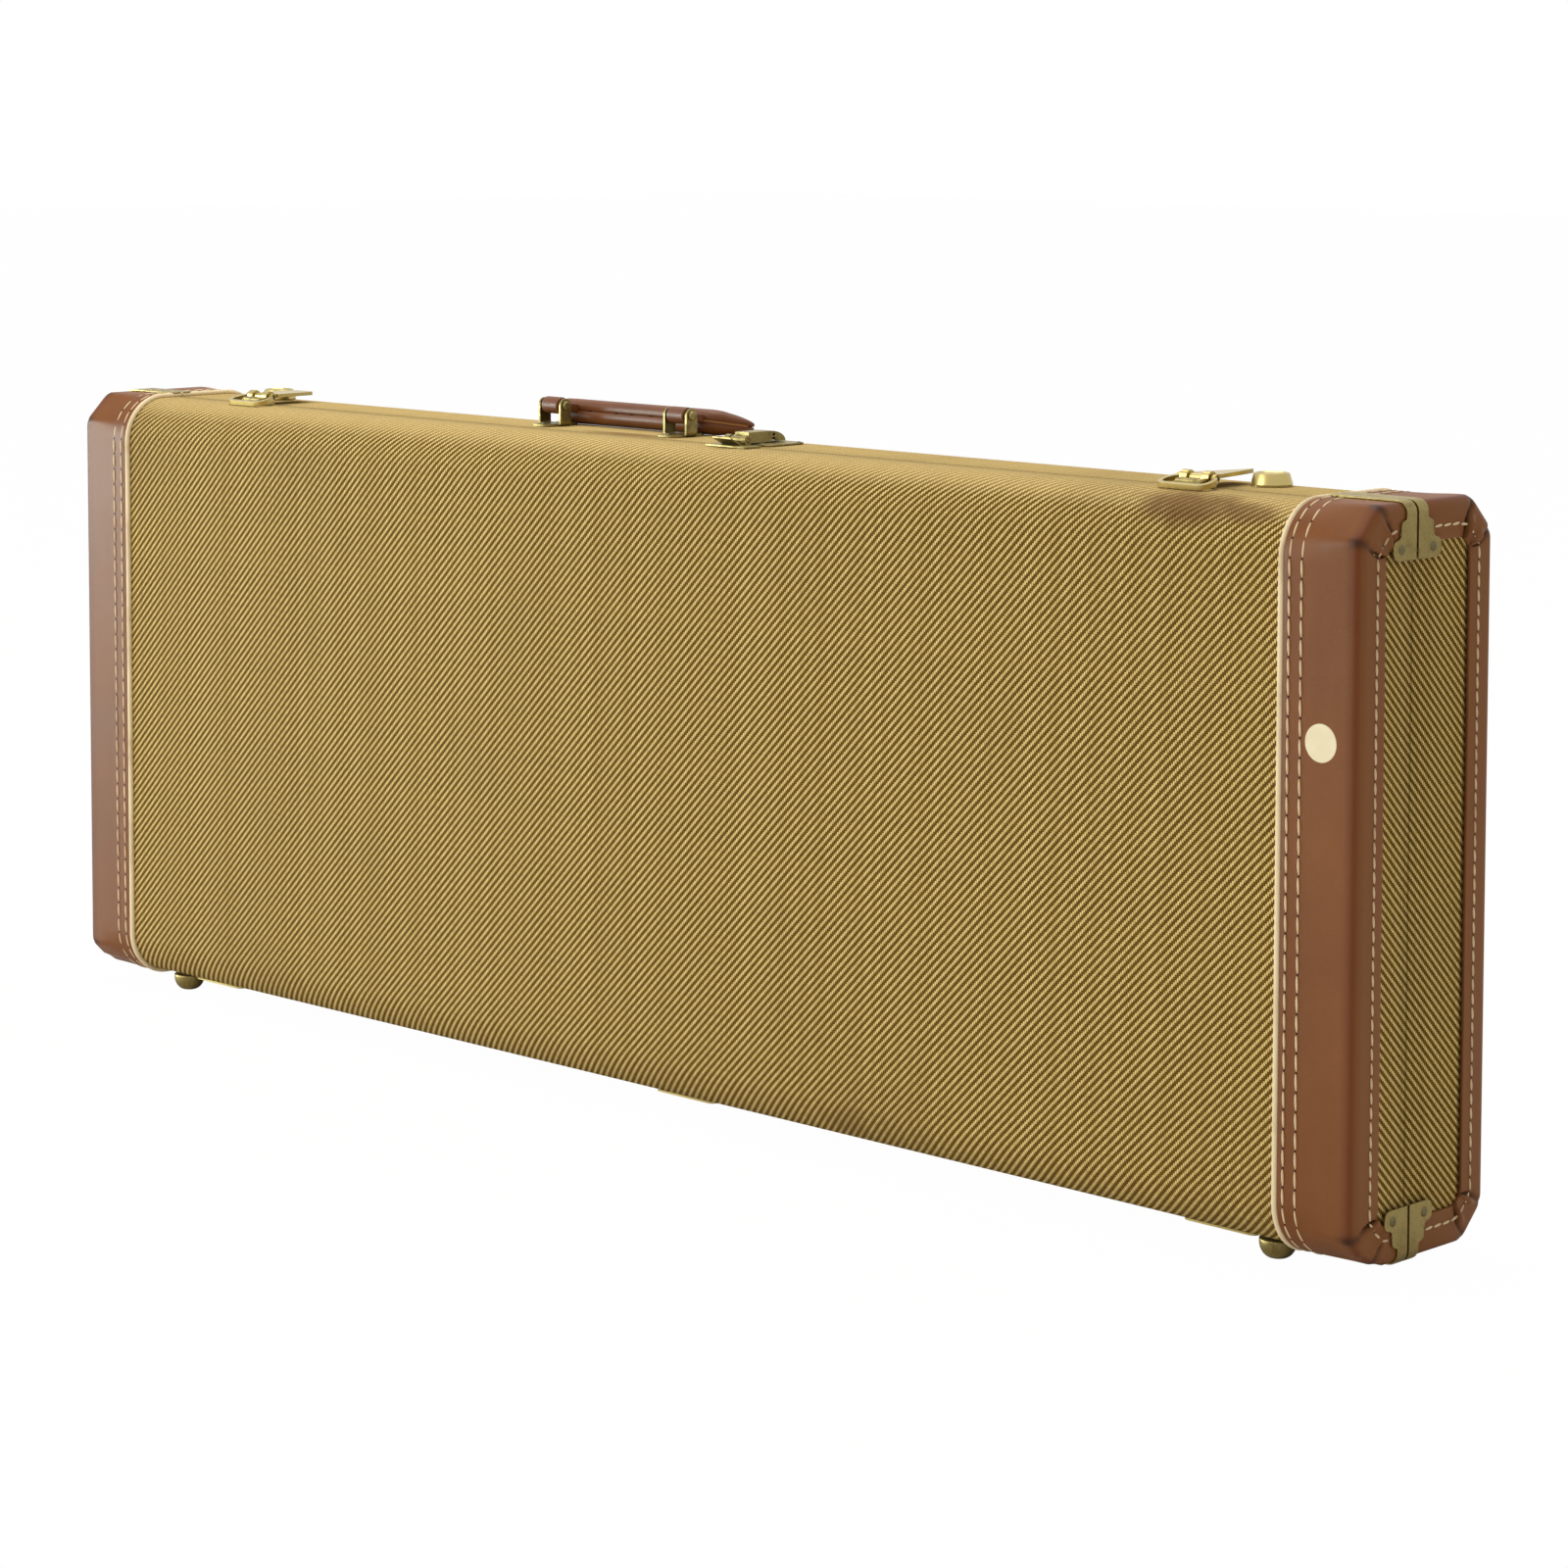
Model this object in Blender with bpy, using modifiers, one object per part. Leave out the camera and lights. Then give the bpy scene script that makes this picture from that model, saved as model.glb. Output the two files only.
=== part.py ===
"""Rectangular hard case for an electric guitar: tweed over plywood, leather ends, brass hardware.

The case stands on its feet with the hinges below and the handle above. X runs along its
length, the lid is the half towards -Y, and the floor is at Z = 0. All sizes are in metres.
"""

from math import atan2, cos, pi, radians, sin, tan

import bmesh
import bpy
from mathutils import Matrix, Vector

# Overall case, measured over the leather ends
LENGTH = 1.040
HEIGHT = 0.382
DEPTH = 0.111
LID_DEPTH = 0.0444
STAND = 0.0088
EDGE_RADIUS = 0.029
END_RADIUS = 0.005

# Layers of the wall, from the outside in
LEATHER = 0.0016
TWEED = 0.0010
PLYWOOD = 0.0060
LINING = 0.0025

# Clearances
FIT = 0.0003
SEAM = 0.0006
RUN = 0.0003

# Leather ends and the cream piping beside them
CAP = 0.0474
PIPING_RADIUS = 0.0013
BORDER_SIDE = 0.0205
BORDER_TOP = 0.0180
WINDOW_CUT = 0.0055
WINDOW_ROUND = 0.0030

# Wooden tongue round the mouth of the base, and the inner fittings
RIM = 0.0030
RIM_RISE = 0.0070
RIM_DEPTH = 0.0120
RIM_PLAY = 0.0015
LID_PAD = 0.0060
LID_PAD_MARGIN = 0.016
BLOCK_LENGTH = 0.360
BLOCK_THIN = 0.006
BLOCK_SWELL = 0.022
BLOCK_RISE = 0.040
CRADLE_FROM_END = 0.190
CRADLE_LENGTH = 0.070
CRADLE_SPAN = 0.150
CRADLE_RISE = 0.034
CRADLE_NOTCH = 0.062
CRADLE_NOTCH_DEPTH = 0.018
BOX_TO_CRADLE = 0.110
BOX_LENGTH = 0.200
BOX_SPAN = 0.100
BOX_RISE = 0.046
BOX_WALL = 0.005

# Brass clips that cover the seam at each end
CLIP = 0.0009
CLIP_ARM = 0.0085
CLIP_BUMP = 0.0130
CLIP_WAIST = 0.0105
CLIP_FOOT = 0.0195
CLIP_DROP = 0.0285

# Hinges under the case
HINGE_TO_FOOT = 0.0016
CENTRE_HINGE_X = 0.0207
HINGE_LENGTH = 0.048
LEAF = 0.0012
LEAF_WIDTH = 0.0195
KNUCKLE_RADIUS = 0.0026
HINGE_PIN_RADIUS = 0.0012

# Feet
FOOT_FROM_END = 0.0690
FOOT_RADIUS = 0.0098
FOOT_FLAT = 0.0030
FOOT_RIM = 0.0016
LID_FOOT_INSET = 0.0146
BASE_FOOT_INSET = 0.0290

# Handle and its brackets
HANDLE_X = -0.0772
HANDLE_Y = 0.0200
HANDLE_SPAN = 0.1088
BRACKET = 0.0013
BRACKET_WIDTH = 0.0195
BRACKET_DEPTH = 0.028
EAR_WIDTH = 0.0088
EAR_BEND = 0.0010
PIN_RISE = 0.0108
PIN_RADIUS = 0.0018
PIN_HEAD_RADIUS = 0.0029
PIN_HEAD = 0.0012
GRIP_NEAR_HALF = 0.0660
GRIP_FAR_HALF = 0.0860
GRIP_NEAR = 0.0125
GRIP_FAR = 0.0405
GRIP_THICK = 0.0145
GRIP_ROUND = 0.0055
GRIP_NEAR_CORNER = 0.0080
GRIP_FAR_CORNER = 0.0065
ROLL_RADIUS = 0.0068
STRAP_THICK = 0.0060
GRIP_REST_ANGLE = -10.0

# Parts that all three latches share
LATCH_SETBACK = 0.0038
PLATE = 0.0010
BARREL_RADIUS = 0.0030
BARREL_SINK = 0.0004
LATCH_PIN_RADIUS = 0.0012

# Outer latches
LATCH_FROM_END = 0.135
LATCH_HALF = 0.0099
LATCH_PLATE = 0.0022
LATCH_PLATE_LENGTH = 0.0090
LATCH_PLATE_CORNER = 0.0040
TONGUE_KNUCKLE_HALF = 0.0045
TONGUE_NECK = 0.0048
TONGUE_SLOPE = 0.0008
TONGUE_LENGTH = 0.0340
TONGUE_HALF = 0.0105
TONGUE_TIP_HALF = 0.0095
TONGUE_TIP_CORNER = 0.0040
TONGUE_THICK = 0.0022
EYE_LENGTH = 0.0026
RING_HALF = 0.0180
RING_SHOULDER = 0.0060
RING_LENGTH = 0.0150
RING_WIDTH = 0.0027
RING_THICK = 0.0028
RING_TILT = 13.0
RIGHT_TONGUE_LIFT = 2.5
KEEPER_OUT = 0.0225
KEEPER_SETBACK = 0.0289
KEEPER_RADIUS = 0.0100
KEEPER_TOP_RADIUS = 0.0087
KEEPER_FLANGE = 0.0105
KEEPER_HEIGHT = 0.0068
KEEPER_LIP = 0.0011
KEEPER_HOLLOW = 0.0007

# Centre latch
CENTRE_X = 0.049
CENTRE_HALF = 0.0170
CENTRE_BARREL_HALF = 0.0085
CENTRE_KNUCKLE_HALF = 0.0045
CENTRE_PLATE_LENGTH = 0.0105
HASP_HALF = 0.0055
HASP_LENGTH = 0.0333
HASP_SLOPE = 0.0125
HASP_RISE = 0.0042
HASP_WALL = 0.0013
HASP_ARCH_PLACE = 0.0205
HASP_ARCH_RADIUS = 0.0021
HASP_HOLE_RADIUS = 0.0010
HASP_HOLE_RISE = 0.0041
LOCK_MARGIN = 0.0050
LOCK_CORNER = 0.0035
LOCK_SLOT_HALF = 0.0030
LOCK_SLOT_WIDTH = 0.0030
TAB_HALF = 0.0075
TAB_RISE = 0.0045
TAB_START = 0.0040
TAB_LENGTH = 0.0091

# Smoothness of the round stretches
EDGE_STEPS = 6
END_STEPS = 3
ROUND_STEPS = 4
TURN_STEPS = 16
MIN_ROUND = 0.0010
TINY = 1e-6

# Levels and planes that follow from the sizes above
HALF_LENGTH = LENGTH / 2
FOOT_X = HALF_LENGTH - FOOT_FROM_END
OUTER_HINGE_X = FOOT_X - FOOT_RADIUS - HINGE_TO_FOOT - HINGE_LENGTH / 2
LATCH_X = HALF_LENGTH - LATCH_FROM_END
KEEPER_X = LATCH_X + KEEPER_OUT
CRADLE_X = HALF_LENGTH - CRADLE_FROM_END
BOX_X = CRADLE_X - BOX_TO_CRADLE - BOX_LENGTH
UNDERSIDE = STAND
TOP = STAND + HEIGHT
MIDDLE = STAND + HEIGHT / 2
SEAM_Y = LID_DEPTH - DEPTH / 2
TWEED_IN = LEATHER + FIT
PLYWOOD_IN = TWEED_IN + TWEED + FIT
LINING_IN = PLYWOOD_IN + PLYWOOD + FIT
SPACE_IN = LINING_IN + LINING
TWEED_TOP = TOP - TWEED_IN
TWEED_BOTTOM = UNDERSIDE + TWEED_IN
FLOOR_Y = DEPTH / 2 - SPACE_IN
HINGE_Z = TWEED_BOTTOM - FIT - KNUCKLE_RADIUS
LATCH_Y = SEAM_Y - LATCH_SETBACK
LATCH_Z = TWEED_TOP + FIT + LATCH_PLATE - BARREL_SINK + BARREL_RADIUS
CENTRE_Z = TWEED_TOP + FIT + PLATE - BARREL_SINK + BARREL_RADIUS
KNUCKLE = BARREL_RADIUS - BARREL_SINK - RUN
GRIP_Z = TWEED_TOP + FIT + PIN_RISE

LID = -1
BASE = 1
LEFT = -1
RIGHT = 1

# Where an outline's u, v and thickness point
FLAT = Matrix.Identity(4)
UPRIGHT = Matrix(((1, 0, 0, 0), (0, 0, -1, 0), (0, 1, 0, 0), (0, 0, 0, 1)))
ACROSS = Matrix(((0, 0, 1, 0), (1, 0, 0, 0), (0, 1, 0, 0), (0, 0, 0, 1)))

for old in list(bpy.data.objects):
    bpy.data.objects.remove(old, do_unlink=True)
parts = bpy.data.collections.new("guitar_case")
cutters = bpy.data.collections.new("guitar_case_cutters")
for collection in (parts, cutters):
    bpy.context.scene.collection.children.link(collection)


def finish(name, colour, roughness, metallic=0.0):
    """A plain Principled material."""
    material = bpy.data.materials.new(name)
    material.use_nodes = True
    shader = material.node_tree.nodes["Principled BSDF"]
    shader.inputs["Base Color"].default_value = (*colour, 1.0)
    shader.inputs["Roughness"].default_value = roughness
    shader.inputs["Metallic"].default_value = metallic
    return material


TWEED_CLOTH = finish("tweed_cloth", (0.42, 0.29, 0.10), 0.85)
BROWN_LEATHER = finish("brown_leather", (0.20, 0.075, 0.032), 0.45)
CREAM_PIPING = finish("cream_piping", (0.72, 0.58, 0.36), 0.55)
PLAIN_WOOD = finish("plain_wood", (0.50, 0.34, 0.19), 0.70)
PLUSH = finish("plush", (0.36, 0.12, 0.03), 0.95)
AGED_BRASS = finish("aged_brass", (0.36, 0.26, 0.10), 0.45, 1.0)
BRIGHT_BRASS = finish("bright_brass", (0.72, 0.58, 0.30), 0.25, 1.0)


def face_outwards(bm):
    """Turns every face of a closed mesh to the outside."""
    bmesh.ops.recalc_face_normals(bm, faces=bm.faces)
    if bm.calc_volume(signed=True) < 0:
        bmesh.ops.reverse_faces(bm, faces=bm.faces)


def arc(u, v, radius, start, end, steps):
    """Points on an arc, its angles in degrees."""
    turn = (end - start) / steps
    angles = [radians(start + turn * i) for i in range(steps + 1)]
    return [(u + radius * cos(a), v + radius * sin(a)) for a in angles]


def circle(u, v, radius, steps=TURN_STEPS, start=0):
    return arc(u, v, radius, start, start + 360, steps)[:-1]


def rounded(corners, steps=ROUND_STEPS):
    """An outline through corners (u, v, radius), each turned into an arc of its radius."""
    outline = []
    for i, (u, v, radius) in enumerate(corners):
        corner = Vector((u, v))
        if radius < TINY:
            outline.append((u, v))
            continue
        before = (Vector(corners[i - 1][:2]) - corner).normalized()
        after = (Vector(corners[(i + 1) % len(corners)][:2]) - corner).normalized()
        half = before.angle(after) / 2
        centre = corner + (before + after).normalized() * (radius / sin(half))
        first = corner + before * (radius / tan(half)) - centre
        last = corner + after * (radius / tan(half)) - centre
        start = atan2(first.y, first.x)
        turn = (atan2(last.y, last.x) - start + pi) % (2 * pi) - pi
        for step in range(steps + 1):
            angle = start + turn * step / steps
            outline.append((centre.x + radius * cos(angle), centre.y + radius * sin(angle)))
    return outline


def rectangle(u0, v0, u1, v1, radius=0.0):
    return rounded([(u0, v0, radius), (u1, v0, radius), (u1, v1, radius), (u0, v1, radius)])


def prism(outlines, low, high, axes=FLAT):
    """A flat outline, and any holes in it, given its thickness from low to high."""
    curve = bpy.data.curves.new("outline", "CURVE")
    curve.dimensions = "2D"
    curve.fill_mode = "BOTH"
    curve.extrude = (high - low) / 2
    for outline in outlines:
        spline = curve.splines.new("POLY")
        spline.points.add(len(outline) - 1)
        for point, (u, v) in zip(spline.points, outline):
            point.co = (u, v, 0.0, 1.0)
        spline.use_cyclic_u = True
    holder = bpy.data.objects.new("outline", curve)
    cutters.objects.link(holder)
    evaluated = holder.evaluated_get(bpy.context.evaluated_depsgraph_get())
    mesh = bpy.data.meshes.new_from_object(evaluated)
    bm = bmesh.new()
    bm.from_mesh(mesh)
    bpy.data.objects.remove(holder, do_unlink=True)
    bpy.data.meshes.remove(mesh)
    bmesh.ops.remove_doubles(bm, verts=bm.verts, dist=TINY)
    bmesh.ops.dissolve_limit(bm, angle_limit=radians(0.5), verts=bm.verts, edges=bm.edges)
    shift = Matrix.Translation((0.0, 0.0, (high + low) / 2))
    bmesh.ops.transform(bm, matrix=axes @ shift, verts=bm.verts)
    face_outwards(bm)
    return bm


def bend(bm, start, radius, angle, steps=ROUND_STEPS):
    """Folds a plate that lies along +X on Z = 0 downwards at X = start, round an inner radius."""
    reach = radius * radians(angle)
    for step in range(steps + 1):
        everything = bm.verts[:] + bm.edges[:] + bm.faces[:]
        place = (start + reach * step / steps, 0, 0)
        bmesh.ops.bisect_plane(bm, geom=everything, plane_co=place, plane_no=(1, 0, 0), dist=TINY)
    for vert in bm.verts:
        along = vert.co.x - start
        if along <= 0:
            continue
        turn = min(along / radius, radians(angle))
        beyond = max(along - reach, 0.0)
        out = radius + vert.co.z
        vert.co.x = start + out * sin(turn) + beyond * cos(turn)
        vert.co.z = -radius + out * cos(turn) - beyond * sin(turn)
    face_outwards(bm)


def empty(name, place):
    """A joint's axis, which carries the pieces that turn on it."""
    pivot = bpy.data.objects.new(name, None)
    pivot.location = place
    parts.objects.link(pivot)
    return pivot


def put(name, bm, material, parent=None, pivot=(0, 0, 0), turn=0.0, at_pivot=False):
    """Makes a node. Its mesh is in world places, or round its own pivot where at_pivot is set."""
    if not at_pivot:
        bmesh.ops.translate(bm, vec=-Vector(pivot), verts=bm.verts)
    mesh = bpy.data.meshes.new(name)
    bm.to_mesh(mesh)
    bm.free()
    mesh.shade_smooth()
    mesh.set_sharp_from_angle(angle=radians(30))
    mesh.materials.append(material)
    node = bpy.data.objects.new(name, mesh)
    node.parent = parent
    node.location = Vector(pivot) - (parent.location if parent else Vector((0, 0, 0)))
    node.rotation_euler.x = radians(turn)
    parts.objects.link(node)
    return node


def shape_with(node, bm, operation):
    """Cuts a second shape out of a node, or joins it on. It is placed as the node's own mesh is."""
    mesh = bpy.data.meshes.new(node.name + "_cutter")
    bm.to_mesh(mesh)
    bm.free()
    cutter = bpy.data.objects.new(node.name + "_cutter", mesh)
    cutter.parent = node
    cutter.hide_render = True
    cutter.display_type = "WIRE"
    cutters.objects.link(cutter)
    modifier = node.modifiers.new(operation.lower(), "BOOLEAN")
    modifier.operation = operation
    modifier.solver = "EXACT"
    modifier.object = cutter


def turned(name, profile, material, pivot, axis="Z", parent=None):
    """A node turned from a profile (radius, height) that runs from its top down to its bottom."""
    bm = bmesh.new()
    ring = [bm.verts.new((radius, 0.0, height)) for radius, height in profile]
    for upper, lower in zip(ring, ring[1:]):
        bm.edges.new((upper, lower))
    node = put(name, bm, material, parent, pivot, at_pivot=True)
    screw = node.modifiers.new("turn", "SCREW")
    screw.steps = TURN_STEPS
    screw.render_steps = TURN_STEPS
    screw.use_merge_vertices = True
    screw.merge_threshold = TINY
    screw.use_smooth_shade = True
    if axis == "X":
        node.rotation_euler.y = radians(90)
    return node


def rim_y(side):
    return SEAM_Y + side * SEAM / 2


def wall_line(side, inset, rim):
    """Half of the case's section (Y, Z), from its top edge at the seam round to its bottom edge."""
    y = side * (DEPTH / 2 - EDGE_RADIUS)
    radius = EDGE_RADIUS - inset
    out = 90 - side * 90
    upper = arc(y, TOP - EDGE_RADIUS, radius, 90, out, EDGE_STEPS)
    lower = arc(y, UNDERSIDE + EDGE_RADIUS, radius, out, out - side * 90, EDGE_STEPS)
    return [(rim, TOP - inset)] + upper + lower + [(rim, UNDERSIDE + inset)]


def half_case(side, inset, rim):
    """One half of the case as a solid, drawn in by inset, lofted so that its end edges are round."""
    radius = max(END_RADIUS - inset, MIN_ROUND)
    sections = []
    for step in range(END_STEPS + 1):
        angle = pi / 2 * step / END_STEPS
        x = HALF_LENGTH - inset - radius * (1 - cos(angle))
        sections.append((x, wall_line(side, inset + radius * (1 - sin(angle)), rim)))
    sections += [(-x, line) for x, line in reversed(sections)]
    bm = bmesh.new()
    rings = [[bm.verts.new((x, y, z)) for y, z in line] for x, line in sections]
    for ring_a, ring_b in zip(rings, rings[1:]):
        for i in range(len(ring_a)):
            bm.faces.new((ring_a[i - 1], ring_a[i], ring_b[i], ring_b[i - 1]))
    bm.faces.new(rings[0])
    bm.faces.new(rings[-1])
    face_outwards(bm)
    return bm


def tray(side, outer, inner, rim):
    """A wall of one half, between two insets, open at the seam."""
    bm = half_case(side, outer, rim)
    hollow = half_case(side, inner, rim)
    bmesh.ops.reverse_faces(hollow, faces=hollow.faces)
    mesh = bpy.data.meshes.new("hollow")
    hollow.to_mesh(mesh)
    hollow.free()
    bm.from_mesh(mesh)
    bpy.data.meshes.remove(mesh)
    mouth = [f for f in bm.faces if all(abs(v.co.y - rim) < TINY for v in f.verts)]
    bmesh.ops.delete(bm, geom=mouth, context="FACES")
    bmesh.ops.bridge_loops(bm, edges=[e for e in bm.edges if e.is_boundary])
    return bm


def end_cap(side, end):
    """The leather that wraps one end of one half."""
    bm = tray(side, 0.0, LEATHER, rim_y(side))
    everything = bm.verts[:] + bm.edges[:] + bm.faces[:]
    cut = bmesh.ops.bisect_plane(bm, geom=everything, plane_co=(end * (HALF_LENGTH - CAP), 0, 0),
                                 plane_no=(end, 0, 0), clear_inner=True, dist=TINY)
    edges = [item for item in cut["geom_cut"] if isinstance(item, bmesh.types.BMEdge)]
    bmesh.ops.edgenet_fill(bm, edges=edges)
    face_outwards(bm)
    return bm


def end_window(end):
    """The opening in the leather of an end face, where the tweed shows."""
    side = DEPTH / 2 - BORDER_SIDE
    up = HEIGHT / 2 - BORDER_TOP
    quarter = [(side, up - WINDOW_CUT), (side - WINDOW_CUT, up)]
    half = quarter + [(-y, z) for y, z in reversed(quarter)]
    corners = half + [(-y, -z) for y, z in half]
    outline = rounded([(y, MIDDLE + z, WINDOW_ROUND) for y, z in corners], END_STEPS)
    wall = sorted((end * (HALF_LENGTH - LEATHER * 2), end * (HALF_LENGTH + LEATHER)))
    return prism([outline], wall[0], wall[1], ACROSS)


def piping(name, side, end, parent):
    """The cream bead beside the leather, following the section of the case."""
    inset = TWEED_IN - FIT - PIPING_RADIUS
    line = wall_line(side, inset, rim_y(side))
    curve = bpy.data.curves.new(name, "CURVE")
    curve.dimensions = "3D"
    curve.bevel_depth = PIPING_RADIUS
    curve.bevel_resolution = 2
    curve.use_fill_caps = True
    spline = curve.splines.new("POLY")
    spline.points.add(len(line) - 1)
    origin = parent.location if parent else Vector((0, 0, 0))
    x = end * (HALF_LENGTH - CAP - FIT - PIPING_RADIUS)
    for point, (y, z) in zip(spline.points, line):
        point.co = (*(Vector((x, y, z)) - origin), 1.0)
    curve.materials.append(CREAM_PIPING)
    bead = bpy.data.objects.new(name, curve)
    bead.parent = parent
    parts.objects.link(bead)


def clip_plate():
    """The flat pattern of a seam clip, its arm along +X from the piping and its foot at the far end."""
    arm = CAP - END_RADIUS
    fold = (END_RADIUS + FIT) * pi / 2
    down = arm + fold - END_RADIUS
    corners = [
        (0.0, 0.0, 0.0),
        (down + CLIP_DROP, 0.0, 0.001),
        (down + CLIP_DROP, CLIP_FOOT, 0.004),
        (down + CLIP_DROP * 0.66, CLIP_FOOT, 0.003),
        (down + CLIP_DROP * 0.60, CLIP_WAIST, 0.002),
        (down + CLIP_DROP * 0.53, CLIP_BUMP, 0.002),
        (down + CLIP_DROP * 0.34, CLIP_BUMP, 0.002),
        (down + CLIP_DROP * 0.28, CLIP_ARM, 0.001),
        (0.0, CLIP_ARM, 0.003),
    ]
    bm = prism([rounded(corners, 2)], 0.0, CLIP)
    bend(bm, arm, END_RADIUS + FIT, 90)
    return bm


def seam_clip(name, side, end, level, parent):
    """One brass clip: half of the pair at one end of the seam, above (level 1) or below (level -1)."""
    bm = clip_plate()
    for vert in bm.verts:
        x, y, z = vert.co
        height = HEIGHT / 2 + FIT + z
        vert.co = (end * (HALF_LENGTH - CAP + x), rim_y(side) + side * y, MIDDLE + level * height)
    face_outwards(bm)
    put(name, bm, AGED_BRASS, parent)


def ring(radius, bore, low, high):
    """A knuckle round a pin along X at the local origin."""
    return prism([circle(0, 0, radius, 12), circle(0, 0, bore, 10, 7)], low, high, ACROSS)


def hinge_leaf(name, x, side, parent):
    """A hinge leaf: the base's carries the two outer knuckles, the lid's the middle one."""
    half = HINGE_LENGTH / 2
    third = HINGE_LENGTH / 6
    root = HINGE_PIN_RADIUS + RUN
    clear = KNUCKLE_RADIUS + RUN
    edge = LEAF_WIDTH
    low = KNUCKLE_RADIUS - LEAF
    if side == BASE:
        inner = third + RUN / 2
        corners = [(half, root, 0), (half, edge, 0.004), (-half, edge, 0.004), (-half, root, 0),
                   (-inner, root, 0), (-inner, clear, 0), (inner, clear, 0), (inner, root, 0)]
        spans = [(-half, -inner), (inner, half)]
    else:
        inner = third - RUN / 2
        corners = [(inner, -root, 0), (-inner, -root, 0), (-inner, -clear, 0), (-half, -clear, 0),
                   (-half, -edge, 0.004), (half, -edge, 0.004), (half, -clear, 0), (inner, -clear, 0)]
        spans = [(-inner, inner)]
    node = put(name, prism([rounded(corners, 3)], low, KNUCKLE_RADIUS), AGED_BRASS, parent,
               (x, SEAM_Y, HINGE_Z), at_pivot=True)
    for start, end in spans:
        shape_with(node, ring(KNUCKLE_RADIUS, HINGE_PIN_RADIUS + RUN, start, end), "UNION")


def pin(name, radius, length, place, parent=None):
    """A plain pin along X."""
    profile = [(0.0, length / 2), (radius, length / 2), (radius, -length / 2), (0.0, -length / 2)]
    turned(name, profile, AGED_BRASS, place, "X", parent)


def foot(name, x, side, parent):
    """A domed foot, flattened where it stands."""
    height = TWEED_BOTTOM - FIT
    dome = height - FOOT_RIM
    swell = FOOT_RADIUS - FOOT_FLAT
    curve = [radians(90 * i / EDGE_STEPS) for i in range(EDGE_STEPS + 1)]
    profile = [(0.0, height), (FOOT_RADIUS, height)]
    profile += [(FOOT_FLAT + swell * cos(a), dome * (1 - sin(a))) for a in curve]
    profile += [(0.0, 0.0)]
    inset = BASE_FOOT_INSET if side == BASE else LID_FOOT_INSET
    turned(name, profile, AGED_BRASS, (x, rim_y(side) + side * inset, 0.0), parent=parent)


def case_half(side, word, parent):
    """The shell of one half with its tweed, leather ends, piping, clips and foot pair."""
    rim = rim_y(side)
    put(word + "_shell", tray(side, PLYWOOD_IN, PLYWOOD_IN + PLYWOOD, rim), PLAIN_WOOD, parent)
    put(word + "_tweed", tray(side, TWEED_IN, TWEED_IN + TWEED, rim), TWEED_CLOTH, parent)
    lining_rim = rim if side == BASE else rim - RIM_RISE - RIM_PLAY
    put(word + "_lining", tray(side, LINING_IN, SPACE_IN, lining_rim), PLUSH, parent)
    for end, hand in ((LEFT, "left"), (RIGHT, "right")):
        cap = put(f"{word}_cap_{hand}", end_cap(side, end), BROWN_LEATHER, parent)
        shape_with(cap, end_window(end), "DIFFERENCE")
        piping(f"{word}_piping_{hand}", side, end, parent)
        seam_clip(f"{word}_clip_top_{hand}", side, end, 1, parent)
        seam_clip(f"{word}_clip_bottom_{hand}", side, end, -1, parent)
        foot(f"{word}_foot_{hand}", end * FOOT_X, side, parent)


def round_to_wall(bm, level, radius):
    """Rounds a fitting's far edge at one height, so that it sits in the curve of the lining."""
    edges = []
    for edge in bm.edges:
        at_wall = all(abs(v.co.z - level) < TINY for v in edge.verts)
        if at_wall and all(abs(v.co.y - FLOOR_Y + FIT) < TINY for v in edge.verts):
            edges.append(edge)
    bmesh.ops.bevel(bm, geom=edges, offset=radius, offset_type="OFFSET", segments=EDGE_STEPS,
                    profile=0.5, affect="EDGES", material=-1)
    face_outwards(bm)


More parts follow.
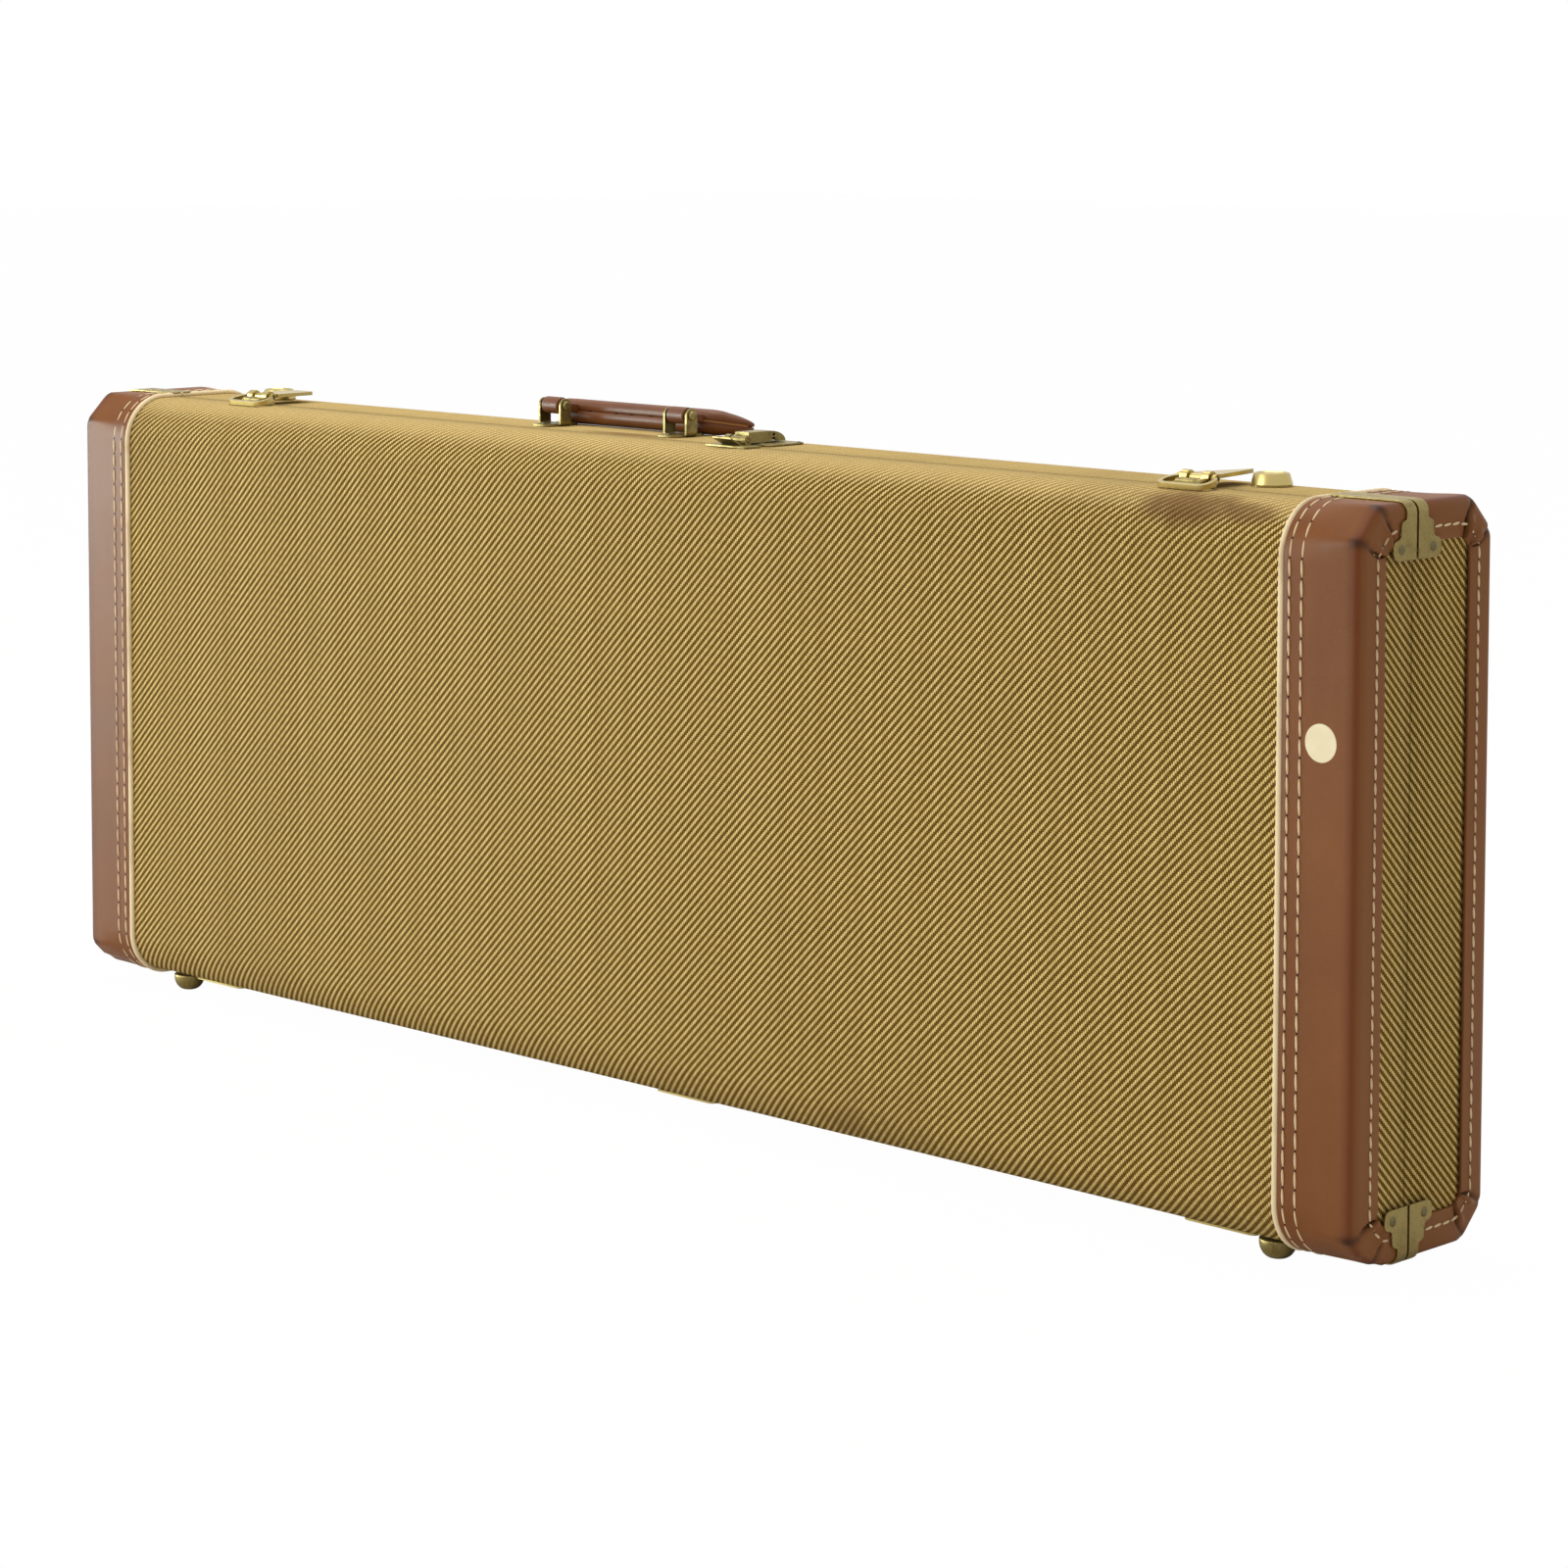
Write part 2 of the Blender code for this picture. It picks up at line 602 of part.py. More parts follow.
def base_fittings():
    """What the base holds inside: the rim, two body blocks, the neck cradle and a divider."""
    outer_x = HALF_LENGTH - SPACE_IN - FIT
    outer_z = HEIGHT / 2 - SPACE_IN - FIT
    mouth = rim_y(BASE)
    rim = prism([rectangle(-outer_x, MIDDLE - outer_z, outer_x, MIDDLE + outer_z, RIM / 2),
                 rectangle(RIM - outer_x, MIDDLE - outer_z + RIM, outer_x - RIM, MIDDLE + outer_z - RIM)],
                -mouth - RIM_DEPTH, -mouth + RIM_RISE, UPRIGHT)
    put("base_rim", rim, PLAIN_WOOD)

    wall_z = outer_z - RIM - FIT
    corner = EDGE_RADIUS - SPACE_IN
    block_left = RIM + FIT - outer_x
    floor = FIT - FLOOR_Y
    for level, word in ((1, "upper"), (-1, "lower")):
        steps = 4 * ROUND_STEPS
        line = []
        for step in range(steps + 1):
            share = step / steps
            depth = corner + BLOCK_THIN + BLOCK_SWELL * sin(pi * share)
            line.append((block_left + BLOCK_LENGTH * share, MIDDLE + level * (wall_z - depth)))
        line += [(block_left + BLOCK_LENGTH, MIDDLE + level * wall_z), (block_left, MIDDLE + level * wall_z)]
        bm = prism([line], floor, floor + BLOCK_RISE, UPRIGHT)
        round_to_wall(bm, MIDDLE + level * wall_z, corner)
        put(f"body_block_{word}", bm, PLUSH)

    half = CRADLE_SPAN / 2
    notch = CRADLE_NOTCH / 2
    back = FLOOR_Y - FIT
    front = back - CRADLE_RISE
    saddle = arc(front, MIDDLE, 1.0, 90, -90, 2 * ROUND_STEPS)
    hollow = [(front + CRADLE_NOTCH_DEPTH * (y - front), MIDDLE + notch * (z - MIDDLE)) for y, z in saddle]
    line = [(back, MIDDLE - half), (back, MIDDLE + half), (front, MIDDLE + half)] + hollow
    line += [(front, MIDDLE - half)]
    put("neck_cradle", prism([line], CRADLE_X, CRADLE_X + CRADLE_LENGTH, ACROSS), PLUSH)

    top = MIDDLE + wall_z
    right = BOX_X + BOX_LENGTH
    shelf = top - BOX_SPAN
    line = [(BOX_X, top), (BOX_X, shelf), (right, shelf), (right, top), (right - BOX_WALL, top),
            (right - BOX_WALL, shelf + BOX_WALL), (BOX_X + BOX_WALL, shelf + BOX_WALL), (BOX_X + BOX_WALL, top)]
    bm = prism([line], floor, floor + BOX_RISE, UPRIGHT)
    round_to_wall(bm, top, corner)
    put("accessory_divider", bm, PLUSH)


def lid_fittings(parent):
    """The padded panel on the inside of the lid."""
    reach_x = HALF_LENGTH - SPACE_IN - LID_PAD_MARGIN
    reach_z = HEIGHT / 2 - EDGE_RADIUS - LID_PAD_MARGIN / 2
    outline = rectangle(-reach_x, MIDDLE - reach_z, reach_x, MIDDLE + reach_z, LID_PAD_MARGIN)
    inner = DEPTH / 2 - SPACE_IN - FIT
    put("lid_pad", prism([outline], inner - LID_PAD, inner, UPRIGHT), PLUSH, parent)


def handle():
    """Two brackets with their pins, and the padded grip that swings on them."""
    y = SEAM_Y + HANDLE_Y
    half = BRACKET_WIDTH / 2
    ear = EAR_WIDTH / 2
    deep = BRACKET_DEPTH / 2
    up = PIN_RISE - EAR_BEND
    bend_reach = EAR_BEND * pi / 2
    for end, hand in ((LEFT, "left"), (RIGHT, "right")):
        x = HANDLE_X + end * HANDLE_SPAN / 2
        flat = half - EAR_BEND - BRACKET
        tip = flat + bend_reach + up + ear
        side = [(flat, deep, 0.004), (flat, ear, 0.0), (tip, ear, ear * 0.98), (tip, -ear, ear * 0.98),
                (flat, -ear, 0.0), (flat, -deep, 0.004)]
        corners = side + [(-u, -v, r) for u, v, r in side]
        hole = PIN_RADIUS + RUN
        at_pin = flat + bend_reach + up
        outlines = [rounded(corners), circle(at_pin, 0, hole, 10), circle(-at_pin, 0, hole, 10)]
        bm = prism(outlines, -BRACKET, 0.0)
        for _ in range(2):
            bmesh.ops.scale(bm, vec=(1, 1, -1), verts=bm.verts)
            bend(bm, flat, EAR_BEND, 90)
            bmesh.ops.scale(bm, vec=(-1, 1, -1), verts=bm.verts)
        face_outwards(bm)
        bmesh.ops.translate(bm, vec=(x, y, TWEED_TOP + FIT + BRACKET), verts=bm.verts)
        put(f"handle_bracket_{hand}", bm, AGED_BRASS)
        shank = half + FIT
        head = shank + PIN_HEAD
        profile = [(0.0, head), (PIN_HEAD_RADIUS * 0.7, head), (PIN_HEAD_RADIUS, shank + PIN_HEAD / 2),
                   (PIN_HEAD_RADIUS, shank), (PIN_RADIUS, shank)]
        profile += [(radius, -height) for radius, height in reversed(profile)]
        turned(f"handle_pin_{hand}", profile, AGED_BRASS, (x, y, GRIP_Z + BRACKET), "X")

    bar = [(-GRIP_NEAR_HALF, GRIP_NEAR, GRIP_NEAR_CORNER), (GRIP_NEAR_HALF, GRIP_NEAR, GRIP_NEAR_CORNER),
           (GRIP_FAR_HALF, GRIP_FAR, GRIP_FAR_CORNER), (-GRIP_FAR_HALF, GRIP_FAR, GRIP_FAR_CORNER)]
    bm = prism([rounded(bar)], -GRIP_THICK / 2, GRIP_THICK / 2)
    long_edges = [e for e in bm.edges if abs(e.verts[0].co.z - e.verts[1].co.z) < TINY]
    bmesh.ops.bevel(bm, geom=long_edges, offset=GRIP_ROUND, offset_type="OFFSET", segments=END_STEPS,
                    profile=0.5, affect="EDGES", material=-1)
    grip = put("handle_grip", bm, BROWN_LEATHER, None, (HANDLE_X, y, GRIP_Z + BRACKET),
               GRIP_REST_ANGLE, at_pivot=True)
    roll = half - BRACKET - FIT
    strap = STRAP_THICK / 2
    join = (GRIP_NEAR + GRIP_FAR) / 2
    lift = atan2(strap, (ROLL_RADIUS ** 2 - strap ** 2) ** 0.5) * 180 / pi
    outline = arc(0, 0, ROLL_RADIUS, lift, 360 - lift, TURN_STEPS) + [(join, -strap), (join, strap)]
    for end in (LEFT, RIGHT):
        x = end * HANDLE_SPAN / 2
        loop = prism([outline, circle(0, 0, PIN_RADIUS + RUN, 10)], x - roll, x + roll, ACROSS)
        shape_with(grip, loop, "UNION")


def outer_latch(hand, end, lift, parent):
    """A latch near one end: plate, pin, finger ring and tongue on the lid, round keeper post on the base."""
    place = (end * LATCH_X, LATCH_Y, LATCH_Z)
    low = BARREL_SINK - BARREL_RADIUS - LATCH_PLATE
    bore = LATCH_PIN_RADIUS + RUN
    back = BARREL_RADIUS
    near = -LATCH_PLATE_LENGTH
    corners = [(LATCH_HALF, back, 0.0), (-LATCH_HALF, back, 0.0), (-LATCH_HALF, near, LATCH_PLATE_CORNER),
               (LATCH_HALF, near, LATCH_PLATE_CORNER)]
    plate = put(f"{hand}_latch_plate", prism([rounded(corners)], low, low + LATCH_PLATE), BRIGHT_BRASS, parent,
                place, at_pivot=True)
    for sign in (LEFT, RIGHT):
        span = sorted((sign * (TONGUE_KNUCKLE_HALF + RUN), sign * (LATCH_HALF - FIT)))
        shape_with(plate, ring(BARREL_RADIUS, bore, *span), "UNION")

    floor = -TONGUE_THICK * 0.2
    neck = TONGUE_KNUCKLE_HALF - FIT
    corners = [(neck, bore, 0.0), (neck, TONGUE_NECK, 0.0), (TONGUE_HALF, TONGUE_NECK + TONGUE_SLOPE, 0.001),
               (TONGUE_TIP_HALF, TONGUE_LENGTH, TONGUE_TIP_CORNER)]
    corners += [(-x, y, radius) for x, y, radius in reversed(corners)]
    tongue = put(f"{hand}_latch_tongue", prism([rounded(corners)], floor, floor + TONGUE_THICK), BRIGHT_BRASS,
                 parent, place, lift, at_pivot=True)
    shape_with(tongue, ring(KNUCKLE, bore, -TONGUE_KNUCKLE_HALF, TONGUE_KNUCKLE_HALF), "UNION")

    eye_in = LATCH_HALF + RUN
    eye_out = eye_in + EYE_LENGTH
    pin(f"{hand}_latch_pin", LATCH_PIN_RADIUS, 2 * (eye_out - FIT), place, parent)
    bow = RING_LENGTH - RING_SHOULDER
    outer = [(RING_HALF * cos(a), -RING_SHOULDER - bow * sin(a)) for a in half_turn()]
    inner = [((RING_HALF - RING_WIDTH) * cos(a), -RING_SHOULDER - (bow - RING_WIDTH) * sin(a))
             for a in half_turn()]
    band = [(eye_out - FIT, -bore)] + outer + [(FIT - eye_out, -bore), (-eye_in - FIT, -bore)]
    band += inner[::-1] + [(eye_in + FIT, -bore)]
    lever = put(f"{hand}_latch_ring", prism([band], -RING_THICK / 2, RING_THICK / 2), BRIGHT_BRASS,
                parent, place, RING_TILT, at_pivot=True)
    for sign in (LEFT, RIGHT):
        span = sorted((sign * eye_in, sign * eye_out))
        shape_with(lever, ring(KNUCKLE, bore, *span), "UNION")

    hollow = KEEPER_HEIGHT - KEEPER_HOLLOW
    profile = [(0.0, hollow), (KEEPER_TOP_RADIUS - 2 * KEEPER_LIP, hollow),
               (KEEPER_TOP_RADIUS - KEEPER_LIP, KEEPER_HEIGHT), (KEEPER_TOP_RADIUS, hollow),
               (KEEPER_RADIUS, PLATE), (KEEPER_FLANGE, PLATE), (KEEPER_FLANGE, 0.0), (0.0, 0.0)]
    turned(f"{hand}_keeper", profile, BRIGHT_BRASS,
           (end * KEEPER_X, SEAM_Y + KEEPER_SETBACK, TWEED_TOP + FIT))


def half_turn():
    """Angles of a half circle, in radians."""
    steps = 3 * ROUND_STEPS
    return [pi * i / steps for i in range(steps + 1)]


def centre_latch(parent):
    """The locking latch beside the handle: plate and hasp on the lid, lock plate on the base."""
    place = (CENTRE_X, LATCH_Y, CENTRE_Z)
    low = BARREL_SINK - BARREL_RADIUS - PLATE
    bore = LATCH_PIN_RADIUS + RUN
    clear = BARREL_RADIUS + RUN
    near = -CENTRE_PLATE_LENGTH
    plate_line = rectangle(-CENTRE_HALF, near, CENTRE_HALF, BARREL_RADIUS, PLATE * 2)
    plate = put("centre_latch_plate", prism([plate_line], low, low + PLATE), AGED_BRASS, parent, place,
                at_pivot=True)
    for sign in (LEFT, RIGHT):
        span = sorted((sign * (CENTRE_KNUCKLE_HALF + RUN), sign * CENTRE_BARREL_HALF))
        shape_with(plate, ring(BARREL_RADIUS, bore, *span), "UNION")
    tab_low = low + PLATE / 2
    tip = -TAB_START - TAB_LENGTH
    tab = [(-TAB_START, tab_low), (-TAB_START, tab_low + PLATE), (tip, tab_low + PLATE + TAB_RISE),
           (tip, tab_low + TAB_RISE)]
    shape_with(plate, prism([tab], -TAB_HALF, TAB_HALF, ACROSS), "UNION")
    pin("centre_latch_pin", LATCH_PIN_RADIUS, 2 * CENTRE_BARREL_HALF, place, parent)

    foot_z = low + PLATE + FIT * 2
    swell = HASP_RISE - foot_z
    crest = HASP_LENGTH - HASP_SLOPE
    slope = [pi / 2 * i / EDGE_STEPS for i in range(EDGE_STEPS + 1)]
    outside = [(clear, foot_z), (clear, HASP_RISE)]
    outside += [(crest + HASP_SLOPE * sin(a), foot_z + swell * cos(a)) for a in slope]
    inside = [(clear + HASP_WALL, foot_z - PLATE), (clear + HASP_WALL, HASP_RISE - HASP_WALL)]
    inside += [(crest + (HASP_SLOPE - HASP_WALL) * sin(a), foot_z + (swell - HASP_WALL) * cos(a)) for a in slope]
    inside[-1] = (inside[-1][0], foot_z - PLATE)
    hasp = put("centre_hasp", prism([outside], -HASP_HALF, HASP_HALF, ACROSS), AGED_BRASS, parent, place,
               at_pivot=True)
    shape_with(hasp, prism([inside], HASP_WALL - HASP_HALF, HASP_HALF - HASP_WALL, ACROSS), "DIFFERENCE")
    at = clear + HASP_ARCH_PLACE
    for height, radius in ((HASP_ARCH_RADIUS * 0.3, HASP_ARCH_RADIUS), (HASP_HOLE_RISE, HASP_HOLE_RADIUS)):
        hole = circle(at, foot_z + height, radius, 10)
        shape_with(hasp, prism([hole], -CENTRE_HALF, CENTRE_HALF, ACROSS), "DIFFERENCE")
    arm = [(bore, 0.0), (clear + HASP_WALL / 2, 0.0), (clear + HASP_WALL / 2, LATCH_PIN_RADIUS),
           (bore, LATCH_PIN_RADIUS)]
    knuckle = CENTRE_KNUCKLE_HALF
    shape_with(hasp, ring(KNUCKLE, bore, -knuckle, knuckle), "UNION")
    shape_with(hasp, prism([arm], FIT - knuckle, knuckle - FIT, ACROSS), "UNION")

    start = SEAM_Y + SEAM / 2 + LATCH_SETBACK
    end = LATCH_Y + HASP_LENGTH + LOCK_MARGIN
    lock = rectangle(CENTRE_X - CENTRE_HALF, start, CENTRE_X + CENTRE_HALF, end, LOCK_CORNER)
    slot_y = LATCH_Y + HASP_LENGTH / 2
    slot = rectangle(CENTRE_X - LOCK_SLOT_HALF, slot_y - LOCK_SLOT_WIDTH / 2,
                     CENTRE_X + LOCK_SLOT_HALF, slot_y + LOCK_SLOT_WIDTH / 2)
    level = TWEED_TOP + FIT
    put("centre_lock", prism([lock, slot], level, level + PLATE), AGED_BRASS)


lid_axis = empty("lid_axis", (0.0, SEAM_Y, HINGE_Z))
case_half(BASE, "base", None)
case_half(LID, "lid", lid_axis)
base_fittings()
lid_fittings(lid_axis)
for hinge_x, spot in ((-OUTER_HINGE_X, "left"), (CENTRE_HINGE_X, "centre"), (OUTER_HINGE_X, "right")):
    hinge_leaf(f"{spot}_hinge_base_leaf", hinge_x, BASE, None)
    hinge_leaf(f"{spot}_hinge_lid_leaf", hinge_x, LID, lid_axis)
    pin(f"{spot}_hinge_pin", HINGE_PIN_RADIUS, HINGE_LENGTH, (hinge_x, SEAM_Y, HINGE_Z))
handle()
outer_latch("left", LEFT, 0.0, lid_axis)
outer_latch("right", RIGHT, RIGHT_TONGUE_LIFT, lid_axis)
centre_latch(lid_axis)
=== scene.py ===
"""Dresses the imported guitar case: tweed, stitched leather ends, piping, brass hardware and plush inside."""

from math import atan2, cos, degrees, exp, hypot, pi, radians, sin

import bmesh
import bpy
from mathutils import Matrix, Vector


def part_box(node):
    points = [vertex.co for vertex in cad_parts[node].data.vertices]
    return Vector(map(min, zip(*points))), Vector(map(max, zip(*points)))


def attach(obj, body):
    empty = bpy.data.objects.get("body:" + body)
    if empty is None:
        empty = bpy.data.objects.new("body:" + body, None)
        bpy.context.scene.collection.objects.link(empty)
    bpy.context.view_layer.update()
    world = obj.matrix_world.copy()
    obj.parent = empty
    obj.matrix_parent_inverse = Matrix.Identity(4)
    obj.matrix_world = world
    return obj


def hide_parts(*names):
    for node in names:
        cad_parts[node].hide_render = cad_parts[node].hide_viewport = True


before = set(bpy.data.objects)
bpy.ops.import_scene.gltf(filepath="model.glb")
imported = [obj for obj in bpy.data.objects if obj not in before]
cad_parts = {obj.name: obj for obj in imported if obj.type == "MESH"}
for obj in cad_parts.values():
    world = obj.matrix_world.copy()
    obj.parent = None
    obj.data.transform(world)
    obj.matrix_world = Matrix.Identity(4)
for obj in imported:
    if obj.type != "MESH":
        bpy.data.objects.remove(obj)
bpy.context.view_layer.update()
scene = bpy.context.scene

# The case as the solids have it, in metres
LENGTH = 1.040
HEIGHT = 0.382
DEPTH = 0.111
STAND = 0.0088
EDGE_RADIUS = 0.029
END_RADIUS = 0.005
LEAST_BEND = 0.001
SEAM_Y = -0.0111
SEAM = 0.0006
LEATHER = 0.0016
TWEED_IN = 0.0019
TWEED = 0.0010

HALF = LENGTH / 2
MIDDLE = STAND + HEIGHT / 2
TOP = STAND + HEIGHT
LID, BASE = -1, 1
LEFT, RIGHT = -1, 1
UP, DOWN = 1, -1
HALVES = ((LID, "lid"), (BASE, "base"))
ENDS = ((LEFT, "left"), (RIGHT, "right"))
LEVELS = ((UP, "top"), (DOWN, "bottom"))
QUARTERS = [(side, word, end, hand) for side, word in HALVES for end, hand in ENDS]

# Lengths that count as nothing, and as one point in a solid's mesh
TINY = 1e-6
WELD = 1e-5

# How much the edges of the metal pieces are eased, and the steps round a bend
SOFT_EDGE = 0.00025
FINE_EDGE = 0.0002
BEND_STEPS = 8

# The tweed: its yarn, where its top is painted paler (painted light), where it turns darker towards the
# bottom, the painted shade along the seam and under the leather's far edge, and each stain's place, squeeze,
# reach and depth
YARN = 0.00125
COVER_STEPS = 12
COVER_END_STEPS = 3
END_FACE = 0.004
TOP_LIGHT_FROM, TOP_LIGHT_TO = 0.014, 0.003
LOW_DARK_HEIGHT, LOW_DARK_FADE = 0.035, 0.045
PARTING_SHADE = (0.0004, 0.0013)
FAR_EDGE_SHADOW = (0.0322, 0.0346)
STAINS = (
    ((0.402, -0.042, 0.3830), 2.2, 0.036, 0.72),
    ((0.440, -0.045, 0.3815), 2.6, 0.022, 0.55),
    ((-0.055, -0.003, 0.3889), 4.0, 0.036, 0.60),
    ((0.170, -0.0536, 0.0215), 1.6, 0.022, 0.30),
)

# The leather ends: their length along the case, and the border round each window
CAP = {LEFT: 0.0439, RIGHT: 0.0474}
CAP_SLICES = 12
CAP_END_STEPS = 6
CAP_EASE = 0.0004
BORDER = 0.0203
BORDER_RINGS = 12
WINDOW_CUT = 0.0055

# The flat-cut corners of the leather, with angles in degrees from the face
CORNER_STEPS = 36
CORNER_CREST = 1.066
CORNER_WEAR = 0.085
CORNER_EDGES = (22.5, 67.5)
CUT_DEPTH = 0.042
CUT_FADE = 0.034
WEAR_DEPTH = 0.004
WEAR_SPREAD = 0.10
WEAR_SHADE = 0.65
FOLD_DEPTH = 0.012
FOLD_FADE = 0.010
FOLD_SPLAY = 17
FOLD_ROLL = 0.0020
FOLD_PINCH = 0.0024
PINCH_SPREAD = 4.0
ROLL_ASIDE = 11
ROLL_SPREAD = 6.0
FAR_GATHER = 1.7

# Painted dark reflection in a band beside the ends, and a painted pale sheen, with some rubbing, right at
# them
EDGE_SHADE = 0.011
EDGE_SHADE_FADE = 0.008
EDGE_SHADE_STOP = 0.0022
EDGE_SHEEN = 0.0030

# Piping and sewing
PIPING_RADIUS = 0.0017
PIPING_PROUD = 0.0009
PIPING_GAP = 0.0003
STITCH_ROWS = (0.0036, 0.0113)
BORDER_ROW = 0.0132
BORDER_ROW_CUT = 0.0110
FACE_STITCH = 0.0098
FACE_SLANT = 0.05
END_STITCH = 0.0074
END_SLANT = 0.10
STITCH_GAP = 0.0010
THREAD = 0.00074
NEEDLE_DINT = (0.00075, 0.00075, 0.00014)

# The seam's clips and the feet. A rivet or stud is given as its radius and height
CLIP_GAP = 0.0006
CLIP_HALF = 0.0155
CLIP_REACH = 0.03
CLIP_RIVET = (0.0027, 0.0010)
CLIP_RIVET_IN = 0.0228
CLIP_RIVET_ASIDE = 0.0128
CLIP_RIVET_OUT = 0.0010
FOOT_FLAT = 0.003
FOOT_RIM = 0.0016
FOOT_EASE = 0.0004
FOOT_STEPS = 10

# The finger rings, from the line of their pins
RING_EYE = 0.0115
RING_EYE_HALF = 0.0013
RING_BORE = 0.0015
RING_KNUCKLE = 0.0023
RING_ROOT = 0.0010
RING_SHOULDER = 0.0035
RING_HALF = 0.0157
RING_REACH = 0.0148
RING_CORNER = 0.0058
RING_WIDTH = 0.0027
RING_THICK = 0.0028
RING_EASE = 0.0005
RING_TILT = 13.0

# The rest of the latches, from the same line
HOUSING_HALF = 0.0088
HOUSING_REACH = 0.0076
HOUSING_GAP = 0.0012
HOUSING_EASE = 0.0012
BARREL_REACH = 0.0034
BARREL_SWELL = 0.3
BARREL_FOOT = 0.002
BARREL_FADE = 0.003
TONGUE_ROOT = 0.004
TONGUE_RUN = 0.02
TONGUE_HALF = 0.0105
TONGUE_DRAW = 0.0025
TONGUE_BEND = 0.0030
TONGUE_EASE = 0.0004
PLATE = 0.0010
PLATE_STUD = (0.0019, 0.0007)
PLATE_STUD_ASIDE = 0.0060
PLATE_STUD_IN = 0.0042
LOCK_STUD = (0.0012, 0.0006)
LOCK_STUD_ASIDE = 0.0018
LOCK_STUD_FRONT = 0.008
LOCK_STUD_BACK = 0.004

# The round posts beside the latches: a dished top measured down from the crown, a flank and a brim
POST_TOP = ((0.0, -0.0008), (0.0072, -0.0008), (0.0078, -0.0005), (0.0084, 0.0), (0.0090, -0.0001),
            (0.0094, -0.0006))
POST_FLANK = ((0.0108, 0.0016), (0.0111, 0.0009))
POST_BRIM = 0.0004

# The grip, from the line of its pins
GRIP_NEAR = 0.0125
GRIP_FAR = 0.0405
GRIP_NEAR_HALF = 0.0660
GRIP_FAR_HALF = 0.0810
GRIP_THICK = 0.0145
GRIP_ROUND = 0.0055
GRIP_SEAM = ((0.0, 0.0010), (0.0003, 0.0005), (0.0008, 0.0001), (0.0026, 0.0))
GRIP_CROWN = (0.0003, 0.0035)
GRIP_CORNER = 0.0085
GRIP_CUTS = 23
GRIP_LONG_EDGE = 0.02
GRIP_TAPER = 0.45
GRIP_TAPER_FROM = 0.022
GRIP_TILT = -10.0
GRIP_SAG = 0.0012
CUT_EDGE_IN = 0.0002
CUT_EDGE_CORNER = 0.0084
CUT_EDGE_STEPS = 16
CUT_EDGE_FROM = 0.052
CUT_EDGE_STOP = 0.006
CUT_EDGE_WIDTH = 0.0011
CUT_EDGE_THICK = 0.0013
LOOP_RADIUS = 0.0051
LOOP_HALF = 0.0070
LOOP_TUCK = 0.004
LOOP_STEPS = 24
LOOP_EASE = 0.0009
SLITS = (-0.037, -0.014, -0.001, 0.016, 0.033)
SLIT_SIZE = (0.0016, 0.0007, 0.0006)
SLIT_IN = 0.0008
BRACKET_PIN_EASE = 0.0003
BRACKET_STUD = (0.0022, 0.0010)
BRACKET_STUD_ASIDE = 0.0105
BRACKET_STUD_UP = 0.0013

# Sticker and plush
STICKER_PLACE = (HALF - 0.0234, -DEPTH / 2, STAND + 0.264)
STICKER_RADIUS = 0.0097
STICKER_THICK = 0.00012
STICKER_EASE = 0.0002
LINING_EASE = 0.0004
PLUSH_EASE = 0.0022

# How high the relief of each finish stands, and two plies of the plywood
WEAVE_RELIEF = 0.00045
HIDE_RELIEF = 0.0010
FINE_RELIEF = 0.00012
PILE_RELIEF = 0.0008
WOOD_RELIEF = 0.0003
PAPER_RELIEF = 0.00008
TWO_PLIES = 0.0024

# Room, lamps (place, aim, size, power, tint) and the photograph's camera (turn, drop and roll)
WHITE = (1.0, 1.0, 1.0)
ROOM_TINT = (1.0, 0.94, 0.84)
ROOM_LIGHT = 0.45
FLOOR_TINT = (0.97, 0.97, 0.97)
FLOOR_SIZE = 14.0
FLOOR_SHOWN = 0.985
WARM, COOL = (1.0, 0.97, 0.92), (0.88, 1.0, 0.96)
LAMPS = {
    "key": ((-1.2, -2.6, 1.7), (0.0, 0.0, 0.2), 1.8, 47.0, WARM),
    "sheen": ((-2.9, -1.7, 0.1), (-0.5, 0.0, 0.1), 1.5, 212.0, COOL),
    "overhead": ((-0.2, 0.3, 2.6), (0.0, 0.0, 0.2), 2.0, 40.0, WARM),
}
CAMERA_PLACE = (1.75458, -1.71324, 0.59964)
CAMERA_ANGLES = (0.77659, 0.07900, 0.00191)
CAMERA_SENSOR = 36.0
CAMERA_LENS = 97.174
CAMERA_SHIFT = -0.23766


class Wire:
    """One output of a node. Arithmetic on it adds Math nodes."""

    def __init__(self, graph, socket):
        self.graph = graph
        self.socket = socket

    def maths(self, operation, *others):
        return self.graph.node("Math", {"operation": operation}, (self, *others))

    def __add__(self, other):
        return self.maths("ADD", other)

    def __sub__(self, other):
        return self.maths("SUBTRACT", other)

    def __rsub__(self, other):
        return self.graph.node("Math", {"operation": "SUBTRACT"}, (other, self))

    def __mul__(self, other):
        return self.maths("MULTIPLY", other)

    def __mod__(self, other):
        return self.maths("FLOORED_MODULO", other)

    def __pow__(self, other):
        return self.maths("POWER", other)

    def __lt__(self, other):
        return self.maths("LESS_THAN", other)

    def __gt__(self, other):
        return self.maths("GREATER_THAN", other)

    __radd__ = __add__

    def size(self):
        return self.maths("ABSOLUTE")

    def floor(self):
        return self.maths("FLOOR")

    def sine(self):
        return self.maths("SINE")

    def most(self, other):
        return self.maths("MAXIMUM", other)

    def clamp(self):
        return self.graph.node("Clamp", {}, (self,))

    def ramp(self, low, high):
        """Runs smoothly from 0 at low to 1 at high."""
        return self.graph.node("MapRange", {"interpolation_type": "SMOOTHSTEP"}, (self, low, high, 0.0, 1.0))

    def beside(self, name):
        """Another output of the same node."""
        return Wire(self.graph, self.socket.node.outputs[name])


